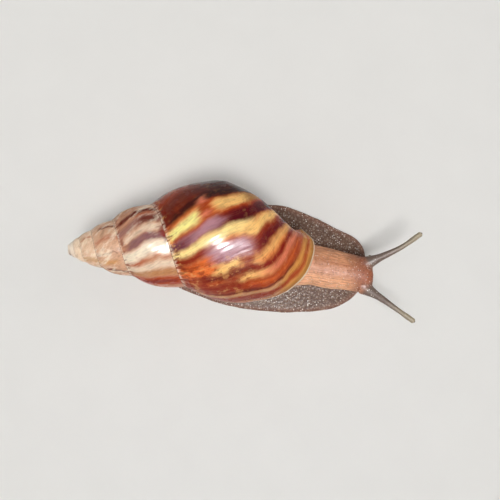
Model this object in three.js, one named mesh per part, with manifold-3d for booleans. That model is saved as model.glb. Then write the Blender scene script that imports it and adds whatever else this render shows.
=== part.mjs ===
// Giant African land snail, life-size, crawling with its neck and tentacles stretched out.
// Millimetres, +Z up. The head points along +X, the animal's left side is +Y, and the sole lies on Z = 0.
// The origin is under the middle of the whole animal.
import * as THREE from "three";
import { mergeGeometries, mergeVertices } from "three/addons/utils/BufferGeometryUtils.js";
import Module from "manifold-3d";

const wasm = await Module();
wasm.setup();

// ---------------------------------------------------------------- driving dimensions
const CUT = 0.3; // gap left between neighbouring pieces
const ORIGIN = new THREE.Vector3(-0.3, -0.73, 0); // the middle of the whole, in the sizes below

// The shell grows in whorls round its own axis. Each whorl copies the one before it, larger by
// one ratio along the axis and by another away from it, and turns clockwise seen from the apex.
const SHELL = {
  apex: new THREE.Vector3(-53.2, 0.05, 27), // where the spire would run out to a point
  yaw: THREE.MathUtils.degToRad(4.8), // the axis leans to the animal's left towards the head
  pitch: THREE.MathUtils.degToRad(9), // and falls towards the head
  alongRatio: 1.832,
  outRatio: 1.501,
  sutureAlong: 24.8, // the last suture, where it passes the animal's left side
  sutureOut: 11.27,
  whorls: 5.8,
  lipTurn: 0.574, // where the lip starts, in turns past the animal's left side
  stepsPerWhorl: 30,
  cellsAcross: 8, // between two sutures, and again from there round the base
  lagSteps: 3, // how far a growth line falls back from one suture to the next
  flareOut: 0.13, // how much wider the lip opens in front, over its last steps
  flareSteps: 4,
  lipCorner: 1.7, // how far its end is cut back beside the columella
  lipThickness: 0.9,
  throat: new THREE.Vector3(-1, -5, 20.5), // middle of the aperture
  throatDepth: 5, // the aperture is closed this far in
  throatShrink: 0.62,
};

// One growth line, from a suture to the next one and on round the base to the columella:
// distance along the axis and out from it, as multiples of the suture's, and the lag in turns.
const GROWTH_LINE = new THREE.CatmullRomCurve3(
  [
    new THREE.Vector3(1, 1, 0),
    new THREE.Vector3(1.208, 1.289, 0.033),
    new THREE.Vector3(1.416, 1.441, 0.061),
    new THREE.Vector3(1.624, 1.498, 0.083),
    new THREE.Vector3(1.832, 1.501, 0.1),
    new THREE.Vector3(1.994, 1.34, 0.135),
    new THREE.Vector3(2.156, 1.072, 0.172),
    new THREE.Vector3(2.291, 0.644, 0.205),
    new THREE.Vector3(2.35, 0.12, 0.239),
  ],
  false,
  "catmullrom",
  0.5,
);

// What the lip's last steps add to that, from halfway between two sutures round to the columella:
// how far the lip leans to the left and forward, and how many turns it falls back.
const LIP_EDGE = new THREE.CatmullRomCurve3(
  [
    new THREE.Vector3(0.05, 0, 0),
    new THREE.Vector3(0.6, 0, 0.004),
    new THREE.Vector3(1.15, 0.05, 0.014),
    new THREE.Vector3(0.8, -0.15, 0.008),
    new THREE.Vector3(1, 0.45, 0),
    new THREE.Vector3(1.5, 0.9, 0),
    new THREE.Vector3(1.45, 0.3, 0.004),
  ],
  false,
  "catmullrom",
  0.5,
);

// The sole's outline down each side, from the tip of the tail to the front edge under the head.
const FOOT = {
  left: [
    [-38, -0.4], [-36.2, 2.5], [-30, 6.4], [-20, 10.6], [-8, 13.9], [3, 15.2],
    [12, 14.5], [20, 11.5], [28, 7.5], [33.6, 4.9], [37.2, 1.4], [38.4, -3.2],
  ],
  right: [
    [-38, -1], [-35.6, -4.6], [-29.4, -9.2], [-20, -14.2], [-8, -18.4], [3, -20.2],
    [14, -20.8], [24, -20.2], [30.4, -18.3], [34.6, -15.2], [37.2, -11.6], [38.4, -7.4],
  ],
  flange: 1.9, // thickness near the edge
  crown: [1.8, 3.4, 4.3, 4.8, 5, 5.1, 5.1, 5.1, 5.1, 4.9, 4, 2.2], // along the middle
};

// Trunk, neck and head: centre, half width and half height of each cross-section.
const BODY = [
  { at: [-24, -3.5, 4], wide: 2.5, high: 1.5 },
  { at: [-17, -4, 6], wide: 5.5, high: 3.8 },
  { at: [-11, -5, 8], wide: 7.5, high: 6 },
  { at: [-4, -5.4, 9.4], wide: 8.8, high: 8.4 },
  { at: [4, -5.2, 9.8], wide: 9.2, high: 9 },
  { at: [12, -4.6, 9.6], wide: 7.4, high: 8.4 },
  { at: [18, -4.5, 9.4], wide: 6.5, high: 7.5 },
  { at: [24, -5.6, 9.4], wide: 6.5, high: 7.1 },
  { at: [30, -6.7, 9.6], wide: 6, high: 6.7 },
  { at: [34, -7.5, 9.9], wide: 5.8, high: 6.2 },
  { at: [36.6, -7.9, 10], wide: 5.5, high: 5.7 },
  { at: [38, -8, 10.3], wide: 4.2, high: 4.1 },
  { at: [38.5, -8, 10.6], wide: 1.8, high: 1.9 },
];

const UPPER_TENTACLES = {
  left: [[35.4, -4.6, 12.6], [41.5, -1.6, 15.6], [46.6, 1.1, 17.1], [51.4, 4.6, 18]],
  right: [[35.2, -11.4, 12.6], [40.4, -14.9, 15.6], [44.9, -18.2, 17.1], [49.2, -21.3, 18]],
  radii: [2.5, 1.75, 1.2, 1, 0.85, 0.75, 0.72, 0.9, 0.8], // evenly spaced from root to tip
  bulb: 0.88,
};

const EYE = { radius: 0.42, depth: 0.6, gap: 0.1 }; // depth: eye's middle from the bulb's middle

const LOWER_TENTACLES = {
  left: [[35.8, -5, 8.9], [37.6, -3.4, 7.1], [38.7, -2.2, 6]],
  right: [[35.8, -11, 8.9], [37.6, -12.8, 7.1], [38.3, -14, 6]],
  radii: [1.3, 1, 0.85, 0.75, 0.65],
};

const MOUTH = { at: [37.8, -8, 6.8], lobe: [1.7, 1.8, 1.4], apart: 1.4 };

// Where the flesh is divided: a height above the floor and places along the animal.
const DIVIDE = { foot: 5.2, tail: -12, neck: 17.5, head: 33, tentacles: 39 };

const FINISH = {
  shell: { color: 0x8f4a23, roughness: 0.25 },
  collar: { color: 0x8a6455, roughness: 0.5 },
  foot: { color: 0x6e5750, roughness: 0.55 },
  back: { color: 0x936a50, roughness: 0.5 },
  neck: { color: 0xc08058, roughness: 0.45 },
  head: { color: 0x9a5a3e, roughness: 0.45 },
  tentacle: { color: 0x9c8072, roughness: 0.4 },
  eye: { color: 0x1b1512, roughness: 0.15 },
};

// ---------------------------------------------------------------- surfaces and solids
const TURN = 2 * Math.PI;
const UP = new THREE.Vector3(0, 0, 1);
const vector = ([x, y, z = 0]) => new THREE.Vector3(x, y, z);

// A sheet of columns by rows cells, with each corner where at(column, row) puts it.
function sheet(columns, rows, at) {
  const geometry = new THREE.PlaneGeometry(columns, rows, columns, rows);
  const position = geometry.attributes.position;
  for (let k = 0; k < position.count; k += 1) {
    const column = Math.round(position.getX(k) + columns / 2);
    const row = Math.round(position.getY(k) + rows / 2);
    const point = at(column, row);
    position.setXYZ(k, point.x, point.y, point.z);
  }
  return geometry;
}

// Joins sheets edge to edge and leaves out the triangles that have shrunk to nothing.
function weld(...sheets) {
  const joined = mergeGeometries(sheets);
  joined.deleteAttribute("normal");
  joined.deleteAttribute("uv");
  const geometry = mergeVertices(joined, 1e-5);
  const kept = [];
  for (let k = 0; k < geometry.index.count; k += 3) {
    const [a, b, c] = geometry.index.array.slice(k, k + 3);
    if (a !== b && b !== c && c !== a) {
      kept.push(a, b, c);
    }
  }
  geometry.setIndex(kept);
  return geometry;
}

function toSolid(geometry) {
  const welded = weld(geometry);
  return new wasm.Manifold(
    new wasm.Mesh({
      numProp: 3,
      vertProperties: new Float32Array(welded.attributes.position.array),
      triVerts: new Uint32Array(welded.index.array),
    }),
  );
}

function toGeometry(solid) {
  const mesh = solid.getMesh();
  const geometry = new THREE.BufferGeometry();
  geometry.setAttribute("position", new THREE.BufferAttribute(mesh.vertProperties, 3));
  geometry.setIndex(new THREE.BufferAttribute(mesh.triVerts, 1));
  return geometry;
}

// The same closed surface moved outwards by a distance.
function grow(geometry, distance) {
  const grown = geometry.clone();
  grown.computeVertexNormals();
  const { position, normal } = grown.attributes;
  for (let k = 0; k < position.count; k += 1) {
    const point = new THREE.Vector3().fromBufferAttribute(position, k);
    point.addScaledVector(new THREE.Vector3().fromBufferAttribute(normal, k), distance);
    position.setXYZ(k, point.x, point.y, point.z);
  }
  grown.deleteAttribute("normal");
  return grown;
}

// The largest piece of a solid that a cut may have left in several.
function biggest(solid) {
  return solid.decompose().reduce((best, piece) => (piece.volume() > best.volume() ? piece : best));
}

// Everything between two places along the animal and between two heights.
function slab([fromX, toX], [fromZ, toZ]) {
  const box = new THREE.BoxGeometry(toX - fromX, 200, toZ - fromZ);
  box.translate((fromX + toX) / 2, 0, (fromZ + toZ) / 2);
  return toSolid(box);
}

// ---------------------------------------------------------------- shell
const axis = new THREE.Vector3(
  Math.cos(SHELL.pitch) * Math.cos(SHELL.yaw),
  Math.cos(SHELL.pitch) * Math.sin(SHELL.yaw),
  -Math.sin(SHELL.pitch),
);
const leftward = new THREE.Vector3(-Math.sin(SHELL.yaw), Math.cos(SHELL.yaw), 0);
const upward = axis.clone().cross(leftward);
const lastStep = Math.round(SHELL.whorls * SHELL.stepsPerWhorl);
const sutureSteps = SHELL.stepsPerWhorl - SHELL.lagSteps; // from a growth line to the one it ends under

// A corner of the shell: how many steps it has grown, and how many cells it lies from its suture.
function shellPoint(step, cell) {
  if (cell === SHELL.cellsAcross && step + sutureSteps <= lastStep) {
    return shellPoint(step + sutureSteps, 0);
  }
  const line = GROWTH_LINE.getPoint(cell / (2 * SHELL.cellsAcross));
  const late = Math.max(0, 1 - (lastStep - step) / SHELL.flareSteps) ** 1.5;
  const across = cell / SHELL.cellsAcross; // 0 at the suture, 1 at the next, 2 at the columella
  const lip = LIP_EDGE.getPoint(Math.max(0, across - 0.5) / 1.5).multiplyScalar(late);
  const turns = SHELL.lipTurn + (step - lastStep) / SHELL.stepsPerWhorl - line.z - lip.z;
  const corner = SHELL.lipCorner * late * THREE.MathUtils.smoothstep(across, 1.78, 2);
  const along = SHELL.sutureAlong * SHELL.alongRatio ** turns * line.x + lip.y - corner;
  const bell = 1 + SHELL.flareOut * late * Math.sin((TURN / 2) * Math.max(0, across - 1) ** 1.4);
  const out = SHELL.sutureOut * SHELL.outRatio ** turns * line.y * bell;
  return SHELL.apex
    .clone()
    .addScaledVector(axis, along)
    .addScaledVector(leftward, out * Math.cos(TURN * turns) + lip.x)
    .addScaledVector(upward, out * Math.sin(TURN * turns));
}

// The edge of the aperture: along the lip, back up the columella, and over the wall behind it.
function apertureEdge() {
  const { cellsAcross } = SHELL;
  const edge = [];
  for (let cell = 0; cell < 2 * cellsAcross; cell += 1) {
    edge.push(shellPoint(lastStep, cell));
  }
  for (let step = lastStep; step > lastStep - sutureSteps; step -= 1) {
    edge.push(shellPoint(step, 2 * cellsAcross));
  }
  for (let cell = 2 * cellsAcross; cell > cellsAcross; cell -= 1) {
    edge.push(shellPoint(lastStep - sutureSteps, cell));
  }
  return edge;
}

const aperture = apertureEdge();

function shellGeometry() {
  const { cellsAcross, lipThickness, throat, throatDepth, throatShrink } = SHELL;
  const whorls = sheet(lastStep, cellsAcross, (step, cell) => shellPoint(step, cell));
  const base = sheet(sutureSteps, cellsAcross, (step, cell) =>
    shellPoint(lastStep - sutureSteps + step, cellsAcross + cell),
  );
  const mouth = sheet(aperture.length, 3, (column, row) => {
    const point = aperture[column % aperture.length].clone();
    const inward = throat.clone().sub(point);
    if (row === 0) {
      return throat.clone().addScaledVector(UP, throatDepth);
    }
    if (row === 1) {
      return point.addScaledVector(inward, 1 - throatShrink).addScaledVector(UP, throatDepth);
    }
    return row === 2 ? point.addScaledVector(inward, lipThickness / inward.length()) : point;
  });
  const apexEdge = [];
  for (let step = 0; step < sutureSteps; step += 1) {
    apexEdge.push(shellPoint(step, 0));
  }
  for (let cell = cellsAcross; cell > 0; cell -= 1) {
    apexEdge.push(shellPoint(0, cell));
  }
  const tip = SHELL.apex.clone().addScaledVector(axis, 0.3);
  const cap = sheet(apexEdge.length, 1, (column, row) =>
    row === 0 ? tip : apexEdge[column % apexEdge.length],
  );
  return weld(whorls, base, mouth, cap);
}

// ---------------------------------------------------------------- flesh
// A closed tube whose rings of the given points follow one another.
function loft(rings) {
  const around = rings[0].length;
  const middle = (ring) => ring.reduce((sum, p) => sum.add(p), new THREE.Vector3()).divideScalar(around);
  const ends = [middle(rings[0]), middle(rings[rings.length - 1])];
  return sheet(around, rings.length + 1, (column, row) => {
    if (row === 0) {
      return ends[0];
    }
    return row > rings.length ? ends[1] : rings[row - 1][column % around];
  });
}

// An oval ring facing along a direction, wide across it and high above and below it.
function oval(centre, forward, wide, high, around) {
  const side = UP.clone().cross(forward).normalize();
  const top = forward.clone().cross(side).normalize();
  return Array.from({ length: around }, (_, k) => {
    const angle = (TURN * k) / around;
    return centre
      .clone()
      .addScaledVector(side, wide * Math.cos(angle))
      .addScaledVector(top, high * Math.sin(angle));
  });
}

function curveThrough(points) {
  return new THREE.CatmullRomCurve3(points.map(vector), false, "centripetal");
}

// The value of a list of evenly spaced numbers, a share of the way along it.
function along(values, share) {
  const place = share * (values.length - 1);
  const before = Math.min(Math.floor(place), values.length - 2);
  return THREE.MathUtils.lerp(values[before], values[before + 1], place - before);
}

// The sole's shape carried up as a thin flange that rises towards the middle.
function footGeometry() {
  const left = curveThrough(FOOT.left);
  const right = curveThrough(FOOT.right);
  const shares = [0.03, 0, 0.008, 0.05, 0.14, 0.28, 0.5, 0.72, 0.86, 0.95, 0.992, 1, 0.97];
  const heights = [0, 0.4, 0.85, 1, 1, 1, 1, 1, 1, 1, 0.85, 0.4, 0];
  const rise = [0, 0, 0, 0.08, 0.4, 0.85, 1, 0.85, 0.4, 0.08, 0, 0, 0];
  const stations = 26;
  const rings = [];
  for (let k = 0; k <= stations; k += 1) {
    const share = k / stations;
    const from = left.getPoint(share);
    const to = right.getPoint(share);
    const crown = along(FOOT.crown, share);
    const flange = Math.min(FOOT.flange, crown);
    rings.push(
      shares.map((across, j) => {
        const point = from.clone().lerp(to, across);
        return point.setZ(heights[j] * flange + rise[j] * (crown - flange));
      }),
    );
  }
  return weld(loft(rings));
}

function trunkGeometry() {
  const spine = curveThrough(BODY.map((section) => section.at));
  const wides = new THREE.SplineCurve(BODY.map((s, k) => new THREE.Vector2(k, s.wide)));
  const highs = new THREE.SplineCurve(BODY.map((s, k) => new THREE.Vector2(k, s.high)));
  const stations = 2 * (BODY.length - 1);
  const rings = [];
  for (let k = 0; k <= stations; k += 1) {
    const share = k / stations;
    const forward = new THREE.Vector3(1, 0, 0);
    rings.push(oval(spine.getPoint(share), forward, wides.getPoint(share).y, highs.getPoint(share).y, 20));
  }
  return weld(loft(rings));
}

// The collar swells out of the trunk, follows the aperture's edge and reaches a little way inside.
function collarGeometry() {
  const levels = [
    { shrink: 0.4, up: -10 },
    { shrink: 0.66, up: -5.5 },
    { shrink: 0.9, up: -2 },
    { shrink: 0.93, up: -0.6 },
    { shrink: 0.86, up: 0.8 },
    { shrink: 0.55, up: 3.6 },
  ];
  const rings = levels.map(({ shrink, up }) =>
    aperture.map((point) => SHELL.throat.clone().lerp(point, shrink).addScaledVector(UP, up)),
  );
  return weld(loft(rings));
}

function taperGeometry(curve, radii, around, stations) {
  const rings = [];
  for (let k = 0; k <= stations; k += 1) {
    const share = k / stations;
    const radius = along(radii, share);
    rings.push(oval(curve.getPoint(share), curve.getTangent(share), radius, radius, around));
  }
  return weld(loft(rings));
}

function ball(centre, radius, around, stretch = [1, 1, 1]) {
  const geometry = new THREE.SphereGeometry(radius, around, around / 2);
  geometry.scale(...stretch);
  geometry.translate(centre.x, centre.y, centre.z);
  return toSolid(geometry);
}

const shell = shellGeometry();
const trunk = trunkGeometry();
const collar = collarGeometry();
const shellRoom = toSolid(grow(shell, CUT));
const collarRoom = toSolid(grow(collar, CUT));
const trunkRoom = toSolid(grow(trunk, CUT));

const snail = new THREE.Group();
snail.position.copy(ORIGIN).negate();

function place(name, solid, finish) {
  const material = new THREE.MeshStandardMaterial({ metalness: 0, ...FINISH[finish] });
  const mesh = new THREE.Mesh(toGeometry(biggest(solid)), material);
  mesh.name = name;
  snail.add(mesh);
}

place("shell", toSolid(shell), "shell");
place("mantle_collar", toSolid(collar).subtract(shellRoom), "collar");

// The tentacles and the eyes at their tips, with the short length of each that stays on the head.
let body = toSolid(trunk).add(toSolid(footGeometry())).subtract(shellRoom).subtract(collarRoom);
const ahead = [DIVIDE.tentacles + CUT, 100];
for (const side of ["left", "right"]) {
  const path = curveThrough(UPPER_TENTACLES[side]);
  const tip = path.getPoint(1);
  const bulb = ball(tip, UPPER_TENTACLES.bulb, 10);
  const eyeCentre = tip.clone().addScaledVector(path.getTangent(1), EYE.depth);
  const tentacle = toSolid(taperGeometry(path, UPPER_TENTACLES.radii, 10, 11)).add(bulb);
  const socket = ball(eyeCentre, EYE.radius + EYE.gap, 10);
  place(`tentacle_upper_${side}`, tentacle.intersect(slab(ahead, [0, 100])).subtract(socket), "tentacle");
  place(`eye_${side}`, ball(eyeCentre, EYE.radius, 10), "eye");
  body = body.add(tentacle);
}

// The lips and the lower tentacles meet the underside of the head.
const { at, lobe, apart } = MOUTH;
const lobes = [-apart, apart].map((dy) => ball(vector(at).add(new THREE.Vector3(0, dy, 0)), 1, 12, lobe));
const aboveFoot = slab([-100, 100], [DIVIDE.foot + CUT, 100]);
const mouth = lobes[0].add(lobes[1]).subtract(trunkRoom).intersect(aboveFoot);
place("mouth", mouth, "head");
for (const side of ["left", "right"]) {
  const path = curveThrough(LOWER_TENTACLES[side]);
  const tentacle = toSolid(taperGeometry(path, LOWER_TENTACLES.radii, 10, 5));
  place(`tentacle_lower_${side}`, tentacle.subtract(trunkRoom).intersect(aboveFoot), "tentacle");
}

const low = [-1, DIVIDE.foot];
const high = [DIVIDE.foot + CUT, 100];
place("tail", body.intersect(slab([-100, DIVIDE.tail], low)), "foot");
place("foot", body.intersect(slab([DIVIDE.tail + CUT, 100], low)), "foot");
place("back", body.intersect(slab([-100, DIVIDE.neck], high)), "back");
place("neck", body.intersect(slab([DIVIDE.neck + CUT, DIVIDE.head], high)), "neck");
place("head", body.intersect(slab([DIVIDE.head + CUT, DIVIDE.tentacles], high)), "head");

export default snail;
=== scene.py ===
"""A life-size giant African land snail, crawling with its neck and tentacles stretched out."""
import logging
import math
from dataclasses import asdict, dataclass, field
from enum import Enum
from typing import Callable, Iterable, Sequence

import bpy
import numpy as np
from mathutils import Matrix, Vector, noise


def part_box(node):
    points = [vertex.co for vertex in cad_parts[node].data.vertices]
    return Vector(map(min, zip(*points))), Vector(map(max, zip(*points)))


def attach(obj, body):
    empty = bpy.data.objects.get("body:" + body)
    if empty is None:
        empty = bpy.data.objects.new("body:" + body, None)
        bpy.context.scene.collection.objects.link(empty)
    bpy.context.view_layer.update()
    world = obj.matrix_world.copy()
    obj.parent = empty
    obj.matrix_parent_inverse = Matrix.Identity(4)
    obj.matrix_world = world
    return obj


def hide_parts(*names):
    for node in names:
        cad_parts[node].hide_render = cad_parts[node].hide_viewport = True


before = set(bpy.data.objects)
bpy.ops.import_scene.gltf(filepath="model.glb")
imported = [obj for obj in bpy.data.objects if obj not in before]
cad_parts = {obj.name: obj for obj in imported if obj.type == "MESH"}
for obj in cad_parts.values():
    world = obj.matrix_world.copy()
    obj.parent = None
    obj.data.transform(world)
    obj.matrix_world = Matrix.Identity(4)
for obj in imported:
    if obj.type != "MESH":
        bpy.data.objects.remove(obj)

LOG = logging.getLogger("snail")
MM = 0.001
TURN = 2 * math.pi
CENTRE = Vector((-0.3, -0.73, 0))  # middle of the whole animal in the drawing's millimetres
THROAT = Vector((-1, -5, 20.5))  # middle of the shell's mouth, likewise
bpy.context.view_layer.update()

Point = Sequence[float]
Colour = tuple[float, float, float]
Piece = bpy.types.Object
Socket = bpy.types.NodeSocket
Value = float | Colour | Socket
Material = bpy.types.Material


def smooth_step(value: np.ndarray, low: float, high: float) -> np.ndarray:
    """Numbers that rise smoothly from 0 at low to 1 at high, which may be the smaller of the two."""
    share = np.clip((value - low) / (high - low), 0, 1)
    return share * share * (3 - 2 * share)


def spline(knots: Sequence[Point], share: float) -> np.ndarray:
    """Place on the smooth curve through evenly spaced knots.

    Args:
        knots: Points of any number of dimensions.
        share: From 0 at the first knot to 1 at the last.

    Returns:
        The point there.
    """
    points = np.array(knots, float)
    points = np.vstack([2 * points[0] - points[1], points, 2 * points[-1] - points[-2]])
    place = share * (len(knots) - 1)
    first = min(int(place), len(knots) - 2)
    part = place - first
    a, b, c, d = points[first : first + 4]
    lean_b = (c - a) / 2
    lean_c = (d - b) / 2
    cubic = 2 * b - 2 * c + lean_b + lean_c
    square = 3 * c - 3 * b - 2 * lean_b - lean_c
    return cubic * part**3 + square * part**2 + lean_b * part + b


def trace(knots: Sequence[Point], count: int) -> np.ndarray:
    """Rows of evenly spaced places on the smooth curve through evenly spaced knots."""
    return np.array([spline(knots, share) for share in np.linspace(0, 1, count)])


def ease(values: Sequence[float], share: float) -> float:
    """Number on the smooth curve through evenly spaced values, at a share of its length."""
    return float(spline([(value,) for value in values], share)[0])


class Bench:
    """The modelling operators, each acting on the one object being made."""

    @staticmethod
    def clear() -> None:
        """Deselects every object."""
        bpy.ops.object.select_all(action="DESELECT")

    @staticmethod
    def pick(*pieces: Piece) -> None:
        """Selects these objects only, the first of them active.

        Args:
            pieces: The objects.
        """
        Bench.clear()
        for piece in pieces:
            piece.select_set(True)
        bpy.context.view_layer.objects.active = pieces[0]

    @staticmethod
    def edit() -> None:
        """Enters edit mode with vertices being picked."""
        bpy.ops.object.mode_set(mode="EDIT")
        bpy.ops.mesh.select_mode(type="VERT")

    @staticmethod
    def edit_all() -> None:
        """Enters edit mode with every vertex selected."""
        Bench.edit()
        bpy.ops.mesh.select_all(action="SELECT")

    @staticmethod
    def rest() -> None:
        """Goes back to object mode."""
        bpy.ops.object.mode_set(mode="OBJECT")

    @staticmethod
    def join(*pieces: Piece) -> Piece:
        """Joins pieces into the first of them.

        Args:
            pieces: The objects.

        Returns:
            The one that is left.
        """
        Bench.pick(*pieces)
        bpy.ops.object.join()
        return bpy.context.object

    @staticmethod
    def settle(piece: Piece) -> None:
        """Moves the piece's place, turn and scale into its mesh."""
        Bench.pick(piece)
        bpy.ops.object.transform_apply(location=True, rotation=True, scale=True)

    @staticmethod
    def ball(radius: float, place: Point, segments: int, rings: int) -> Piece:
        """Adds a ball.

        Args:
            radius: In millimetres.
            place: Its middle, in millimetres.
            segments: Faces round it.
            rings: Faces from pole to pole.

        Returns:
            The new object.
        """
        Bench.clear()
        bpy.ops.mesh.primitive_uv_sphere_add(
            segments=segments, ring_count=rings, radius=radius * MM, location=Vector(place) * MM
        )
        return bpy.context.object

    @staticmethod
    def chain(name: str, points: Iterable[Point]) -> Piece:
        """Draws a chain of edges, left in edit mode with all of it selected.

        Args:
            name: Name of the new object.
            points: Its corners in order, in metres.

        Returns:
            The new object.
        """
        corners = [Vector(p) for p in points]
        Bench.clear()
        bpy.ops.mesh.primitive_plane_add(size=MM, location=(0, 0, 0))
        piece = bpy.context.object
        piece.name = name
        Bench.edit_all()
        bpy.ops.mesh.merge(type="CENTER")
        bpy.ops.mesh.select_all(action="SELECT")
        bpy.ops.transform.translate(value=corners[0])
        for before, after in zip(corners, corners[1:]):
            bpy.ops.mesh.extrude_vertices_move(TRANSFORM_OT_translate={"value": after - before})
        bpy.ops.mesh.select_all(action="SELECT")
        return piece

    @staticmethod
    def loft(name: str, rings: Sequence[Sequence[Point]]) -> Piece:
        """Draws closed rings, bridges them in order and fills the two ends.

        Args:
            name: Name of the new object.
            rings: Rings of equally many points, in metres.

        Returns:
            The closed piece, in object mode.
        """
        drawn = []
        for ring in rings:
            drawn.append(Bench.chain(name, ring))
            bpy.ops.mesh.edge_face_add()
            bpy.ops.mesh.delete(type="ONLY_FACE")
            Bench.rest()
        piece = Bench.join(*drawn)
        Bench.edit_all()
        bpy.ops.mesh.bridge_edge_loops()
        Bench.finish_skin()
        return piece

    @staticmethod
    def finish_skin() -> None:
        """Fills what is still open, turns every face outwards and leaves edit mode."""
        bpy.ops.mesh.select_all(action="SELECT")
        bpy.ops.mesh.fill_holes(sides=0)
        bpy.ops.mesh.select_all(action="SELECT")
        bpy.ops.mesh.normals_make_consistent(inside=False)
        Bench.rest()

    @staticmethod
    def extrude(move: Point = (0, 0, 0)) -> None:
        """Extrudes the selected edges and moves the new ones."""
        bpy.ops.mesh.extrude_edges_move(TRANSFORM_OT_translate={"value": move})

    @staticmethod
    def resize(scale: Point, about: Point) -> None:
        """Scales what is selected about a point."""
        bpy.ops.transform.resize(value=scale, center_override=about)

    @staticmethod
    def turn(angle: float, about: Point) -> None:
        """Turns what is selected to the left about an upright line through a point."""
        bpy.ops.transform.rotate(value=-angle, orient_axis="Z", center_override=about)

    @staticmethod
    def modify(piece: Piece, kind: str, **settings: object) -> None:
        """Adds a modifier and applies it.

        Args:
            piece: Object to change.
            kind: The modifier's type.
            settings: Its values.
        """
        Bench.pick(piece)
        modifier = piece.modifiers.new(kind.title(), kind)
        for name, value in settings.items():
            setattr(modifier, name, value)
        bpy.ops.object.modifier_apply(modifier=modifier.name)

    @staticmethod
    def read(
        parts: bpy.types.bpy_prop_collection, name: str, width: int = 1, kind: type = float
    ) -> np.ndarray:
        """Reads one value of every part of a mesh.

        Args:
            parts: Its vertices, corners or the like.
            name: The value's name.
            width: How many numbers it has.
            kind: Their type.

        Returns:
            A row for each part, or a number for each where the width is 1.
        """
        flat = np.empty(width * len(parts), kind)
        parts.foreach_get(name, flat)
        return flat if width == 1 else flat.reshape(-1, width)

    @staticmethod
    def places(piece: Piece) -> np.ndarray:
        """The piece's vertices as rows of x, y, z in metres."""
        return Bench.read(piece.data.vertices, "co", 3)

    @staticmethod
    def set_places(piece: Piece, places: np.ndarray) -> None:
        """Puts the piece's vertices at these rows of x, y, z."""
        piece.data.vertices.foreach_set("co", places.ravel())
        piece.data.update()

    @staticmethod
    def paint(piece: Piece, name: str, values: np.ndarray) -> None:
        """Keeps one number for each vertex under a name that materials can read."""
        layer = piece.data.attributes.get(name) or piece.data.attributes.new(name, "FLOAT", "POINT")
        layer.data.foreach_set("value", values.astype(np.float32))

    @staticmethod
    def painted(piece: Piece, name: str) -> np.ndarray:
        """The numbers kept for each vertex under a name."""
        return Bench.read(piece.data.attributes[name].data, "value", kind=np.float32)


class Stretch(Enum):
    """The two stretches of a growth line."""

    WHORL = (0.0, 1.0)  # from a suture to the next one
    BASE = (1.0, 2.0)  # on round the base to the columella


@dataclass(frozen=True)
class GrowthLaw:
    """How the shell winds: every whorl copies the one before it, larger by two ratios."""

    apex: Vector = field(default_factory=lambda: Vector((-53.2, 0.05, 27)))
    yaw: float = math.radians(4.8)
    pitch: float = math.radians(9)
    along_ratio: float = 1.832
    out_ratio: float = 1.501
    suture_along: float = 24.8
    suture_out: float = 11.27
    lip_turn: float = 0.574
    between_sutures: float = 0.9  # turns from a growth line to the one it ends under
    # Distance along the axis and out from it as multiples of the suture's, and the lag in turns.
    line: tuple[Point, ...] = (
        (1, 1, 0),
        (1.208, 1.289, 0.033),
        (1.416, 1.441, 0.061),
        (1.624, 1.498, 0.083),
        (1.832, 1.501, 0.1),
        (1.994, 1.34, 0.135),
        (2.156, 1.072, 0.172),
        (2.291, 0.644, 0.205),
        (2.35, 0.12, 0.239),
    )
    flare_turns: float = 4 / 30
    flare_out: float = 0.13
    # How far the lip leans left, forwards and back round the axis, evenly spaced from halfway
    # between the sutures to the columella: millimetres, millimetres and turns.
    lip_left: tuple[float, ...] = (0.05, 0.6, 1.15, 0.8, 1.0, 1.5, 1.45)
    lip_forward: tuple[float, ...] = (0, 0, 0.05, -0.15, 0.45, 0.9, 0.3)
    lip_back: tuple[float, ...] = (0, 0.004, 0.014, 0.008, 0, 0, 0.004)
    lip_corner: float = 1.7  # millimetres that the lip's corner beside the columella is cut back

    def frame(self) -> Matrix:
        """Turns the shell's own space, wound up +Z from its apex in metres, into the animal's.

        Returns:
            The matrix.
        """
        level = Vector((math.cos(self.yaw), math.sin(self.yaw), 0))
        axis = level * math.cos(self.pitch) - Vector((0, 0, math.sin(self.pitch)))
        left = Vector((-level.y, level.x, 0))
        up = axis.cross(left)
        turned = Matrix((left, up, axis)).transposed().to_4x4()
        return Matrix.Translation(self.apex * MM) @ turned

    def place(self, turns: float, across: float) -> Vector:
        """A point of the shell in its own space.

        Args:
            turns: Growth line, in turns past the animal's left side at the suture.
            across: 0 at its suture, 1 at the next, 2 at the columella.

        Returns:
            The point in metres.
        """
        along, out, lag = spline(self.line, across / 2)
        angle = turns - lag
        radius = self.suture_out * self.out_ratio**angle * out * MM
        height = self.suture_along * self.along_ratio**angle * along * MM
        return Vector((radius * math.cos(TURN * angle), radius * math.sin(TURN * angle), height))

    def locate(self, places: np.ndarray) -> tuple[np.ndarray, np.ndarray]:
        """Growth line and place across it of points on the unflared shell, in its own space.

        Args:
            places: Rows of x, y, z in metres.

        Returns:
            Turns and across for each row, as place takes them.
        """
        shares = np.linspace(0, 1, 801)
        table = trace(self.line, len(shares))
        logs = np.log(table[:, 0]) / math.log(self.along_ratio)
        height = np.log(places[:, 2] / (self.suture_along * MM)) / math.log(self.along_ratio)
        angle = np.arctan2(places[:, 1], places[:, 0]) / TURN
        # Points on a seam may lie a hair's breadth to either side of it.
        whole = np.floor(height - angle + 2e-4)
        for _ in range(2):
            rest = height - angle - whole
            across = np.interp(rest, logs, 2 * shares)
            turns = angle + whole + np.interp(across, 2 * shares, table[:, 2])
            whole = np.where(turns > self.lip_turn + 1e-3, whole - 1, whole)
        return turns, across


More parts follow.
